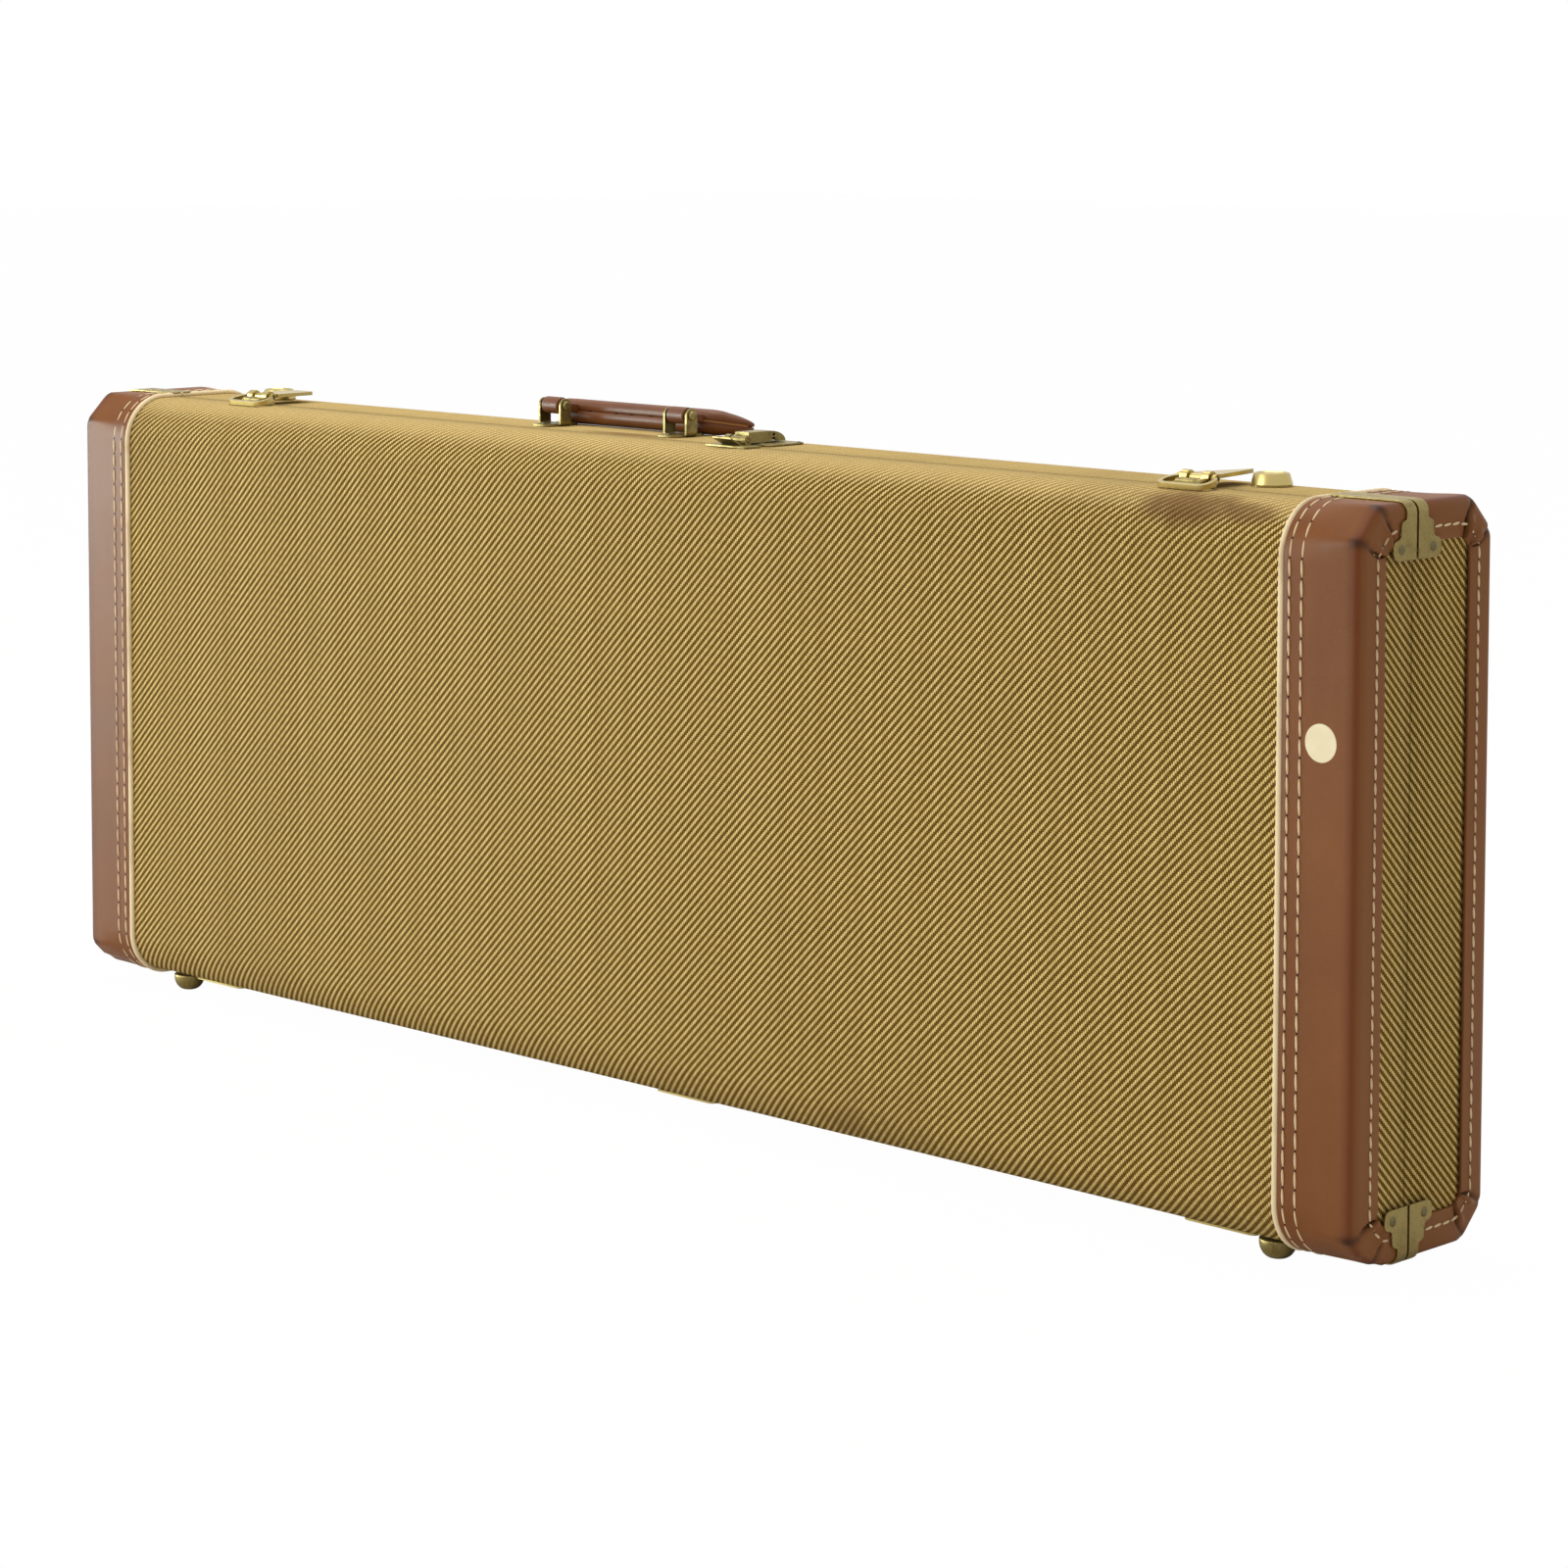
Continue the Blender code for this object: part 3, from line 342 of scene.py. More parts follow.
class Graph:
    """The nodes of a material or of the world."""

    def __init__(self, tree):
        self.nodes = tree.nodes
        self.links = tree.links

    def plug(self, socket, value):
        """Links a wire to a socket, or sets the socket's own value."""
        if isinstance(value, Wire):
            self.links.new(value.socket, socket)
        elif socket.type == "RGBA":
            socket.default_value = (*value, 1.0)
        else:
            socket.default_value = value

    def node(self, kind, settings, values=(), out=0):
        """Adds a node: its settings first, then its sockets, in order or by name or place."""
        made = self.nodes.new("ShaderNode" + kind)
        for key, value in settings.items():
            setattr(made, key, value)
        for key, value in values.items() if isinstance(values, dict) else enumerate(values):
            self.plug(made.inputs[key], value)
        return Wire(self, made.outputs[out])


class Paint(Graph):
    """A node material that ends in one Principled shader."""

    def __init__(self, name, **shader):
        self.material = bpy.data.materials.new(name)
        self.material.use_nodes = True
        super().__init__(self.material.node_tree)
        self.shader = self.nodes["Principled BSDF"]
        self.set(**shader)

    def set(self, **shader):
        for name, value in shader.items():
            self.plug(self.shader.inputs[name.replace("_", " ").title().replace("Ior", "IOR")], value)

    def split(self, point):
        """The x, y and z of a vector."""
        parts = self.node("SeparateXYZ", {}, (point,))
        return [parts.beside(axis) for axis in "XYZ"]

    def place(self):
        """Object coordinates, whole and as x, y and z."""
        point = self.node("TexCoord", {}, out="Object")
        return point, self.split(point)

    def uv(self, name):
        """A piece's own map, whole and as u and v."""
        point = self.node("UVMap", {"uv_map": name})
        return point, self.split(point)[:2]

    def noise(self, point, scale, detail, roughness=0.5):
        sockets = {"Vector": point, "Scale": scale, "Detail": detail, "Roughness": roughness}
        return self.node("TexNoise", {}, sockets)

    def stretched(self, point, scale):
        return self.node("Mapping", {}, {"Vector": point, "Scale": scale})

    def mix(self, factor, first, second):
        """Blends two colours."""
        return self.node("Mix", {"data_type": "RGBA"}, {0: factor, 6: first, 7: second}, out=2)

    def relief(self, height, distance, strength, under=None):
        """Bumps of a height, over other bumps where these are given."""
        sockets = {"Strength": strength, "Distance": distance, "Height": height}
        if under:
            sockets["Normal"] = under
        return self.node("Bump", {}, sockets)


def tweed_cloth():
    """Straw and brown yarns in a two by two twill, a little uneven, soiled and stained, darker towards the
    bottom, with painted light and shade on the yarns, a top painted paler, and painted shade along the seam
    and under the leather's far edge.
    """
    paint = Paint("tweed_cloth", specular_ior_level=0.04)
    point, (u, v) = paint.uv("weave")
    drift = paint.noise(point, 9.0, 2.0)
    across = u * (1 / YARN) + drift * 1.1
    along = v * (1 / YARN) + drift * 1.1
    column = across.floor()
    row = along.floor()
    straw = ((column - row) % 4) < 2
    warp_run = ((along - column + 1) % 4) * (pi / 2)
    weft_run = ((across - row - 2) % 4) * (pi / 2)
    warp_round = ((across - column) * pi).sine()
    weft_round = ((along - row) * pi).sine()
    warp = (warp_round * warp_run.sine()).most(0.0) ** 0.5
    weft = (weft_round * weft_run.sine()).most(0.0) ** 0.5
    height = straw * warp + (1 - straw) * weft * 0.75

    each_column = paint.node("TexWhiteNoise", {"noise_dimensions": "1D"}, {"W": column})
    each_row = paint.node("TexWhiteNoise", {"noise_dimensions": "1D"}, {"W": row})
    flecks = paint.noise(point, 420.0, 2.0)
    # The yarns are painted lighter on their crowns: painted light of the weave's relief.
    warp_tone = (each_column * 0.28 + flecks * 0.5 + warp * 0.55).clamp()
    weft_tone = (each_row * 0.3 + flecks * 0.45 + weft * 0.5).clamp()
    warp_colour = paint.mix(warp_tone, (0.34, 0.205, 0.038), (0.875, 0.700, 0.285))
    weft_colour = paint.mix(weft_tone, (0.060, 0.028, 0.003), (0.215, 0.112, 0.014))
    colour = paint.mix(straw, weft_colour, warp_colour)
    # Painted shade in the gaps between the yarns.
    colour = paint.mix((1 - height) ** 1.5 * 0.62, colour, (0.050, 0.020, 0.001))

    place, (x, y, z) = paint.place()
    # Painted light: the top and the bend into it are painted paler, and their bumps are lowered.
    painted_top_light = z.ramp(TOP - TOP_LIGHT_FROM, TOP - TOP_LIGHT_TO)
    colour = paint.mix(painted_top_light * 0.4, colour, (0.70, 0.53, 0.24))
    # Soiled in random patches, and darker towards the bottom.
    soil = paint.noise(place, 7.0, 5.0, 0.62).ramp(0.52, 0.85) * 0.30
    low = (STAND + LOW_DARK_HEIGHT - z).ramp(0.0, LOW_DARK_FADE) * 0.25
    colour = paint.mix((soil + low).clamp(), colour, (0.15, 0.095, 0.035))
    ragged = paint.noise(place, 60.0, 4.0) - 0.5
    for (spot_x, spot_y, spot_z), squeeze, reach, depth in STAINS:
        away = (x - spot_x) ** 2 + ((y - spot_y) * squeeze) ** 2 + ((z - spot_z) * squeeze) ** 2
        edge = away ** 0.5 + ragged * reach
        stain = (1 - edge.ramp(reach * 0.35, reach * 1.2)) * depth
        colour = paint.mix(stain, colour, (0.13, 0.055, 0.020))
    on_end = x.size() > HALF - END_FACE
    # Painted shade in the gap along the seam, weaker on the end faces.
    parting_shade = (1 - (y - SEAM_Y).size().ramp(*PARTING_SHADE)) * (0.55 - on_end * 0.3)
    # Painted shadow on the end tweed under the lifted far edge of the leather border.
    far_edge_shadow = y.ramp(*FAR_EDGE_SHADOW) * on_end * 0.8
    colour = paint.mix(parting_shade.most(far_edge_shadow), colour, (0.035, 0.018, 0.006))
    bumps = paint.relief(height * (1 - painted_top_light * 0.6), WEAVE_RELIEF, 0.9)
    paint.set(base_color=colour, normal=bumps, roughness=0.9 - height * 0.22)
    return paint.material


def brown_leather(name, light, dark, gloss, shine=0.15):
    """Satin hide: fine grain, cloudy colour and scuffs; a painted dark reflection in a band beside the end
    edges, a painted pale sheen with some rubbing right at them, and painted shade in the folds' creases
    beside dark wear marks.
    """
    paint = Paint(name, specular_ior_level=shine)
    point, (x, _, _) = paint.place()
    cloud = paint.noise(point, 16.0, 4.0, 0.6)
    streak = paint.noise(paint.stretched(point, (60.0, 60.0, 7.0)), 1.0, 3.0)
    tone = (cloud * 0.75 + streak * 0.45 - 0.1).clamp()
    colour = paint.mix(tone, dark, light)
    reach = x.size()
    # Painted dark reflection: a dark band over the rounded edge beside each end.
    rim = (reach - (HALF - EDGE_SHADE)).ramp(0.0, EDGE_SHADE_FADE)
    rim = rim * (1 - (reach - (HALF - EDGE_SHADE_STOP)).ramp(0.0, EDGE_SHADE_STOP))
    colour = paint.mix(rim * 0.55, colour, (0.105, 0.022, 0.006))
    # Painted pale sheen right at the end edges, with some rubbing there too.
    rubbed = (reach - (HALF - EDGE_SHEEN)).ramp(0.0, EDGE_SHEEN)
    colour = paint.mix(rubbed * 0.32, colour, (0.29, 0.135, 0.058))
    scuff = paint.noise(paint.stretched(point, (38.0, 38.0, 120.0)), 1.0, 5.0, 0.7).ramp(0.66, 0.78)
    colour = paint.mix(scuff * 0.3, colour, (0.36, 0.165, 0.075))
    # Darkened where the crease value is: painted shade in the folds' creases, and dark wear marks at the
    # corners.
    crease = paint.node("Attribute", {"attribute_name": "crease"}, out="Fac")
    colour = paint.mix((crease * 0.85).clamp(), colour, (0.020, 0.010, 0.007))
    grain = paint.node("TexVoronoi", {"feature": "DISTANCE_TO_EDGE"}, {"Vector": point, "Scale": 1100.0})
    pores = paint.noise(point, 900.0, 2.0)
    height = (grain * 3.0).clamp() * 0.6 + pores * 0.4
    soft = paint.relief(cloud + streak * 0.5, HIDE_RELIEF, 0.35)
    paint.set(base_color=colour, roughness=gloss + cloud * 0.16 - scuff * 0.05,
              normal=paint.relief(height, FINE_RELIEF, 0.45, soft))
    return paint.material


def cream_cord(name, light, dark, turns):
    """Cream thread or corded piping, its strands crossing on a slant, with a little dirt."""
    paint = Paint(name, roughness=0.6, specular_ior_level=0.3)
    point, (x, y, z) = paint.place()
    strand = ((z + y * 0.7 + x * 1.3) * turns).sine()
    dirt = paint.noise(point, 30.0, 4.0, 0.6).ramp(0.45, 0.8)
    colour = paint.mix((dirt * 0.7 + (strand * 0.5 + 0.5) * 0.15).clamp(), light, dark)
    paint.set(base_color=colour, normal=paint.relief(strand, FINE_RELIEF, 0.5))
    return paint.material


def brass(name, bright, tarnish, gloss, spread, dents=0.0):
    """Brass with tarnish in clouds, fine rubbing marks and, where asked, a hammered face."""
    paint = Paint(name, metallic=1.0)
    point, _ = paint.place()
    cloud = paint.noise(point, 140.0, 5.0, 0.65)
    fine = paint.noise(point, 900.0, 3.0, 0.6)
    rub = paint.noise(paint.stretched(point, (2200.0, 260.0, 260.0)), 1.0, 2.0)
    mask = (cloud * 0.8 + fine * 0.4 - 0.62 + spread).ramp(0.0, 0.45)
    colour = paint.mix(mask, bright, tarnish)
    height = rub * 0.25 + fine * 0.2
    if dents:
        pits = paint.node("TexVoronoi", {"feature": "SMOOTH_F1"}, {"Vector": point, "Scale": 900.0})
        height = height + pits * dents
        colour = paint.mix((pits * 1.3 - 0.25).clamp() * 0.35, colour, tarnish)
    paint.set(base_color=colour, roughness=gloss + mask * 0.25 + rub * 0.08,
              normal=paint.relief(height, FINE_RELIEF, 0.5))
    return paint.material


def plush_pile(name, light, dark):
    """Short plush: brushed patches that catch the light, and a nap of fine hairs."""
    paint = Paint(name, roughness=0.95, specular_ior_level=0.15, sheen_weight=0.6, sheen_roughness=0.4)
    point, _ = paint.place()
    brushed = paint.noise(point, 22.0, 5.0, 0.62)
    nap = paint.noise(point, 1300.0, 2.0)
    colour = paint.mix((brushed * 1.2 + nap * 0.4 - 0.35).clamp(), dark, light)
    paint.set(base_color=colour, normal=paint.relief(brushed * 0.6 + nap * 0.5, PILE_RELIEF, 0.6))
    return paint.material


def plain_plywood(name):
    """Pale plywood, its plies showing as bands on the cut edge."""
    paint = Paint(name, roughness=0.7)
    point, (x, _, z) = paint.place()
    figure = paint.noise(paint.stretched(point, (5.0, 60.0, 60.0)), 1.0, 4.0, 0.6)
    plies = ((z * 0.7 + x * 0.7) * (2 * pi / TWO_PLIES)).sine()
    tone = (figure * 0.8 + plies * 0.12).clamp()
    colour = paint.mix(tone, (0.30, 0.17, 0.075), (0.62, 0.44, 0.25))
    paint.set(base_color=colour, normal=paint.relief(figure, WOOD_RELIEF, 0.4))
    return paint.material


def sticker_paper():
    """A blank paper sticker, yellowed in patches."""
    paint = Paint("sticker_paper", roughness=0.75, specular_ior_level=0.3)
    point, _ = paint.place()
    age = paint.noise(point, 120.0, 4.0, 0.6)
    fibre = paint.noise(point, 1600.0, 2.0)
    colour = paint.mix((age * 0.9 + fibre * 0.2 - 0.2).clamp(), (0.86, 0.80, 0.58), (0.70, 0.60, 0.36))
    paint.set(base_color=colour, normal=paint.relief(fibre, PAPER_RELIEF, 0.3))
    return paint.material


TWEED_CLOTH = tweed_cloth()
END_LEATHER = brown_leather("end_leather", (0.232, 0.080, 0.016), (0.130, 0.041, 0.008), 0.37)
GRIP_LEATHER = brown_leather("grip_leather", (0.215, 0.074, 0.022), (0.085, 0.027, 0.008), 0.34, 0.32)
RAW_EDGE = brown_leather("raw_edge", (0.46, 0.22, 0.10), (0.15, 0.05, 0.02), 0.75)
# Near black: painted shade for the needle holes and for the gaps in the grip's seam.
NEEDLE_HOLE = brown_leather("needle_hole", (0.030, 0.012, 0.006), (0.012, 0.005, 0.003), 0.7)
CREAM_PIPING = cream_cord("cream_piping", (0.86, 0.72, 0.47), (0.50, 0.36, 0.19), 2600.0)
CREAM_THREAD = cream_cord("cream_thread", (0.76, 0.60, 0.38), (0.42, 0.27, 0.14), 5200.0)
AGED_BRASS = brass("aged_brass", (0.28, 0.22, 0.084), (0.070, 0.051, 0.018), 0.38, 0.12)
HAMMERED_BRASS = brass("hammered_brass", (0.31, 0.24, 0.088), (0.10, 0.075, 0.026), 0.38, 0.06, 1.6)
BRIGHT_BRASS = brass("bright_brass", (0.49, 0.385, 0.145), (0.22, 0.165, 0.056), 0.27, -0.04)
DARK_RIVET = brass("dark_rivet", (0.16, 0.135, 0.066), (0.04, 0.033, 0.017), 0.45, 0.1)
PLUSH = plush_pile("orange_plush", (0.52, 0.125, 0.022), (0.26, 0.045, 0.008))
PLYWOOD = plain_plywood("plain_plywood")
PAPER = sticker_paper()


def settle(made, body, stands_for=()):
    """Lets a finished object ride on a body, in place of the solids that it stands for."""
    scene.collection.objects.link(made)
    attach(made, body)
    if stands_for:
        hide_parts(*stands_for)
    return made


def piece(name, bm, material, body, stands_for=(), sharp=40):
    """Makes a piece of the object from a mesh in world places."""
    mesh = bpy.data.meshes.new(name)
    bm.to_mesh(mesh)
    bm.free()
    mesh.shade_smooth()
    mesh.set_sharp_from_angle(angle=radians(sharp))
    mesh.materials.append(material)
    return settle(bpy.data.objects.new(name, mesh), body, stands_for)


def middle_of(node):
    """The middle of a solid's box."""
    low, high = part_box(node)
    return (low + high) / 2


def seam_rim(side):
    """Where the lid's or the base's edge runs at the seam."""
    return SEAM_Y + side * SEAM / 2


def smooth_step(value):
    """Runs smoothly from 0 at 0 to 1 at 1, and stays there."""
    value = min(max(value, 0.0), 1.0)
    return value * value * (3 - 2 * value)


def thicken(made, thickness, ease=0.0):
    """Gives a skin its wall, inwards, and softens the cut edges."""
    wall = made.modifiers.new("wall", "SOLIDIFY")
    wall.thickness = thickness
    wall.offset = -1.0
    if ease:
        ease_edges(made, ease, angle=50)


def ease_edges(made, width, segments=2, angle=40):
    """Rounds the sharp edges of a finished piece."""
    ease = made.modifiers.new("ease", "BEVEL")
    ease.width = width
    ease.segments = segments
    ease.limit_method = "ANGLE"
    ease.angle_limit = radians(angle)


def place_mesh(bm, pose):
    """Faces a closed mesh outwards and moves it to its place."""
    bmesh.ops.recalc_face_normals(bm, faces=bm.faces)
    bmesh.ops.transform(bm, matrix=pose, verts=bm.verts)


def facing(axis):
    """The turn that brings the z axis to another."""
    return Vector((0, 0, 1)).rotation_difference(Vector(axis)).to_matrix().to_4x4()


def join_rings(bm, rings):
    """Joins rings of points, one to the next, and closes both ends."""
    for lower, upper in zip(rings, rings[1:]):
        for i in range(len(lower)):
            bm.faces.new((lower[i - 1], lower[i], upper[i], upper[i - 1]))
    bm.faces.new(rings[0][::-1])
    bm.faces.new(rings[-1])


def everything(bm):
    """All of a mesh, for the tools that cut it."""
    return bm.verts[:] + bm.edges[:] + bm.faces[:]


def rounded_case(inset, long_steps, end_steps):
    """The whole closed case drawn in by inset, and its two flat end faces."""
    bend = max(END_RADIUS - inset, LEAST_BEND)
    bm = bmesh.new()
    bmesh.ops.create_cube(bm, size=1.0)
    size = (LENGTH - 2 * inset - 2 * bend, DEPTH - 2 * inset, HEIGHT - 2 * inset)
    bmesh.ops.scale(bm, vec=size, verts=bm.verts)
    bmesh.ops.translate(bm, vec=(0, 0, MIDDLE), verts=bm.verts)
    long_edges = [e for e in bm.edges if abs(e.verts[0].co.x - e.verts[1].co.x) > HALF]
    bmesh.ops.bevel(bm, geom=long_edges, offset=EDGE_RADIUS - inset, offset_type="OFFSET",
                    segments=long_steps, profile=0.5, affect="EDGES", material=-1)
    ends = [f for f in bm.faces if abs(f.normal.x) > 0.9]
    for face in ends:
        for step in range(end_steps):
            before, after = (pi / 2 * (step + i) / end_steps for i in (0, 1))
            bmesh.ops.inset_individual(bm, faces=[face], thickness=bend * (cos(before) - cos(after)),
                                       depth=bend * (sin(after) - sin(before)), use_even_offset=True)
    return bm, ends


def keep_half(bm, side):
    """Keeps the lid's or the base's share, up to the seam."""
    bmesh.ops.bisect_plane(bm, geom=everything(bm), plane_co=(0, seam_rim(side), 0), plane_no=(0, side, 0),
                           clear_inner=True, dist=TINY)


def round_the_section(y, z, side, inset):
    """How far a point lies round the case's section, from the middle of the lid's face upwards."""
    a = DEPTH / 2 - EDGE_RADIUS
    b = HEIGHT / 2 - EDGE_RADIUS
    radius = EDGE_RADIUS - inset
    quarter = radius * pi / 2
    z = z - MIDDLE
    on_y = min(max(y, -a), a)
    on_z = min(max(z, -b), b)
    turn = atan2(abs(z - on_z), abs(y - on_y)) if abs(z - on_z) > TINY else 0.0
    from_face = radius * turn + (a - on_y * side if turn > pi / 2 - 0.001 else 0.0)
    up = 1 if z > 0 else -1
    if side == LID:
        return on_z + up * from_face
    return 2 * quarter + 2 * a + 2 * b - on_z - up * from_face


def half_section(side, inset, steps=14):
    """Points (y, z) round one half's section, from its top edge at the seam to its bottom edge."""
    y = side * (DEPTH / 2 - EDGE_RADIUS)
    radius = EDGE_RADIUS - inset
    line = [(seam_rim(side), TOP - inset)]
    for centre, start in ((TOP - EDGE_RADIUS, 0), (STAND + EDGE_RADIUS, 90)):
        for step in range(steps + 1):
            turn = radians(start + 90 * step / steps)
            line.append((y + side * radius * sin(turn), centre + radius * cos(turn)))
    line.append((seam_rim(side), STAND + inset))
    return line


def tweed_covers():
    """Tweed over each half, with the weave's own map running round the section."""
    for side, word in HALVES:
        bm, _ = rounded_case(TWEED_IN, COVER_STEPS, COVER_END_STEPS)
        keep_half(bm, side)
        weave = bm.loops.layers.uv.new("weave")
        for face in bm.faces:
            at_end = abs(face.normal.x) > 0.6
            for loop in face.loops:
                x, y, z = loop.vert.co
                if at_end:
                    loop[weave].uv = (-y, z)
                else:
                    loop[weave].uv = (x, round_the_section(y, z, side, TWEED_IN))
        cover = piece(f"{word}_tweed_cover", bm, TWEED_CLOTH, word, [f"{word}_tweed"],
                      sharp=50)
        thicken(cover, TWEED)


def flat_cut(turn):
    """How much further out a flat-cut corner stands than a round one, its edges a little eased."""
    nearest = round(turn / (pi / 4)) * pi / 4
    return min(1 / cos(turn - nearest), CORNER_CREST)


def leather_ends():
    """Leather wrapped over each end and folded onto the end face, pleated at the flat-cut corners."""
    for side, word, end, hand in QUARTERS:
        bm, faces = rounded_case(0.0, CORNER_STEPS, CAP_END_STEPS)
        face = next(f for f in faces if f.is_valid and f.normal.x * end > 0)
        ring = (BORDER - END_RADIUS) / BORDER_RINGS
        for _ in range(BORDER_RINGS):
            bmesh.ops.inset_individual(bm, faces=[face], thickness=ring, use_even_offset=True)
        bmesh.ops.delete(bm, geom=[face], context="FACES")
        for step in range(1, CAP_SLICES + 1):
            depth = END_RADIUS + (CAP[end] - END_RADIUS) * step / CAP_SLICES
            bmesh.ops.bisect_plane(bm, geom=everything(bm), plane_co=(end * (HALF - depth), 0, 0),
                                   plane_no=(end, 0, 0), clear_inner=step == CAP_SLICES, dist=TINY)
        cut_corners(bm, end)
        keep_half(bm, side)
        bmesh.ops.recalc_face_normals(bm, faces=bm.faces)
        turn_outwards(bm, end)
        cap = piece(f"{word}_leather_{hand}", bm, END_LEATHER, word, [f"{word}_cap_{hand}"],
                    sharp=60)
        thicken(cap, LEATHER, CAP_EASE)


def turn_outwards(bm, end):
    """Faces an open skin away from the middle of the case."""
    face = max(bm.faces, key=lambda f: f.calc_area())
    away = face.calc_center_median() - Vector((end * (HALF - CAP[end]), 0, MIDDLE))
    if face.normal.dot(away) < 0:
        bmesh.ops.reverse_faces(bm, faces=bm.faces)


def cut_corners(bm, end):
    """Draws the round corners out to flat cuts towards the end, and gathers the leather there in folds."""
    a = DEPTH / 2 - EDGE_RADIUS
    b = HEIGHT / 2 - EDGE_RADIUS
    rim = EDGE_RADIUS - END_RADIUS
    inner = EDGE_RADIUS - BORDER
    first, last = Vector((inner, inner - WINDOW_CUT)), Vector((inner - WINDOW_CUT, inner))
    crease = bm.verts.layers.float.new("crease")
    for vert in bm.verts:
        y, z = abs(vert.co.y) - a, abs(vert.co.z - MIDDLE) - b
        if y < -TINY or z < -TINY:
            continue
        side, level = (1 if v > 0 else -1 for v in (vert.co.y, vert.co.z - MIDDLE))
        radius, turn = hypot(y, z), atan2(z, y)
        depth = HALF - end * vert.co.x
        cut = flat_cut(turn)
        if (side, level) == (LID, DOWN) and turn > pi / 4:
            cut -= CORNER_WEAR * max(sin(4 * turn - pi), 0.0)
        inward = 0.0
        if depth < TINY:
            inward = min(max((rim - radius) / (BORDER - END_RADIUS), 0.0), 1.0)
            outer = Vector((cos(turn), sin(turn))) * rim * cut
            y, z = outer.lerp(first.lerp(last, turn / (pi / 2)), inward)
        else:
            swell = 1 + smooth_step((CUT_DEPTH - depth) / CUT_FADE) * (cut - 1)
            y, z = radius * swell * cos(turn), radius * swell * sin(turn)
        vert.co.y = side * (a + y)
        vert.co.z = MIDDLE + level * (b + z)
        gather = FAR_GATHER if (side, level, end) == (BASE, UP, RIGHT) else 1.0
        pinch, roll = folds(turn, inward)
        near = smooth_step((FOLD_DEPTH - depth) / FOLD_FADE)
        vert.co.x += end * gather * near * (FOLD_ROLL * roll - FOLD_PINCH * pinch)
        worn = max(exp(-((turn - radians(at)) / WEAR_SPREAD) ** 2) for at in CORNER_EDGES)
        worn *= exp(-((depth - WEAR_DEPTH) / WEAR_DEPTH) ** 2) if inward < 0.05 else 0.0
        # The crease value darkens the leather: painted shade along each fold's crease, and dark wear at the
        # cut's edges.
        vert[crease] = min(near * pinch * gather + WEAR_SHADE * worn, 1.0)


def folds(turn, inward):
    """Two folds in a corner, each a crease beside a raised roll, from the cut's edge to the window."""
    low, high = CORNER_EDGES
    pinch = roll = 0.0
    for place, way in ((low - FOLD_SPLAY * inward, 1), (high + FOLD_SPLAY * inward, -1)):
        off = (degrees(turn) - place) * way
        pinch += exp(-(off / PINCH_SPREAD) ** 2)
        roll += exp(-((off - ROLL_ASIDE) / ROLL_SPREAD) ** 2)
    swell = (0.35 + 0.65 * smooth_step(inward * 1.7)) * (1 - 0.6 * smooth_step((inward - 0.75) / 0.25))
    return pinch * swell, roll * swell * smooth_step(inward * 1.8)


def pipings():
    """The cream bead along the inner edge of the leather."""
    for side, word, end, hand in QUARTERS:
        bead = bpy.data.curves.new(f"{word}_bead_{hand}", "CURVE")
        bead.dimensions = "3D"
        bead.bevel_depth = PIPING_RADIUS
        bead.bevel_resolution = 4
        bead.use_fill_caps = True
        line = half_section(side, PIPING_RADIUS - PIPING_PROUD)
        spline = bead.splines.new("POLY")
        spline.points.add(len(line) - 1)
        spline.use_smooth = True
        x = end * (HALF - CAP[end] - PIPING_GAP - PIPING_RADIUS)
        for point, (y, z) in zip(spline.points, line):
            point.co = (x, y, z, 1.0)
        bead.materials.append(CREAM_PIPING)
        made = bpy.data.objects.new(bead.name, bead)
        settle(made, word, [f"{word}_piping_{hand}"])


def stations(line, pitch):
    """Evenly spaced stretches (start, end) along a line of points."""
    lengths = [(b - a).length for a, b in zip(line, line[1:])]
    total = sum(lengths)
    count = max(1, round(total / pitch))
    marks = []
    walked, index = 0.0, 0
    for step in range(count + 1):
        goal = total * step / count
        while index < len(lengths) - 1 and walked + lengths[index] < goal:
            walked += lengths[index]
            index += 1
        marks.append(line[index].lerp(line[index + 1], (goal - walked) / lengths[index]))
    return list(zip(marks, marks[1:]))


def sew(bm, start, end, up, slant):
    """One stitch: a fat thread that dips into the leather at both ends."""
    along = end - start
    side = up.cross(along).normalized()
    middle = (start + end) / 2 + up * THREAD * 0.25
    reach = along.length / 2 - STITCH_GAP / 2
    direction = (along.normalized() + side * slant).normalized()
    side = up.cross(direction).normalized()
    turn = Matrix((direction, side, up)).transposed().to_4x4()
    scale = Matrix.Diagonal((reach, THREAD, THREAD * 0.9, 1.0))
    pose = Matrix.Translation(middle) @ turn @ scale @ Matrix.Rotation(pi / 2, 4, "Y")
    bmesh.ops.create_uvsphere(bm, u_segments=8, v_segments=6, radius=1.0, matrix=pose)


def border_line(side):
    """The row of stitches round one half of a window (y, z): straight runs with flat-cut corners."""
    y = side * (DEPTH / 2 - BORDER_ROW)
    z = HEIGHT / 2 - BORDER_ROW
    upper = [(seam_rim(side), z), (y - side * BORDER_ROW_CUT, z), (y, z - BORDER_ROW_CUT)]
    return [(y, MIDDLE + z) for y, z in upper + [(y, -z) for y, z in reversed(upper)]]


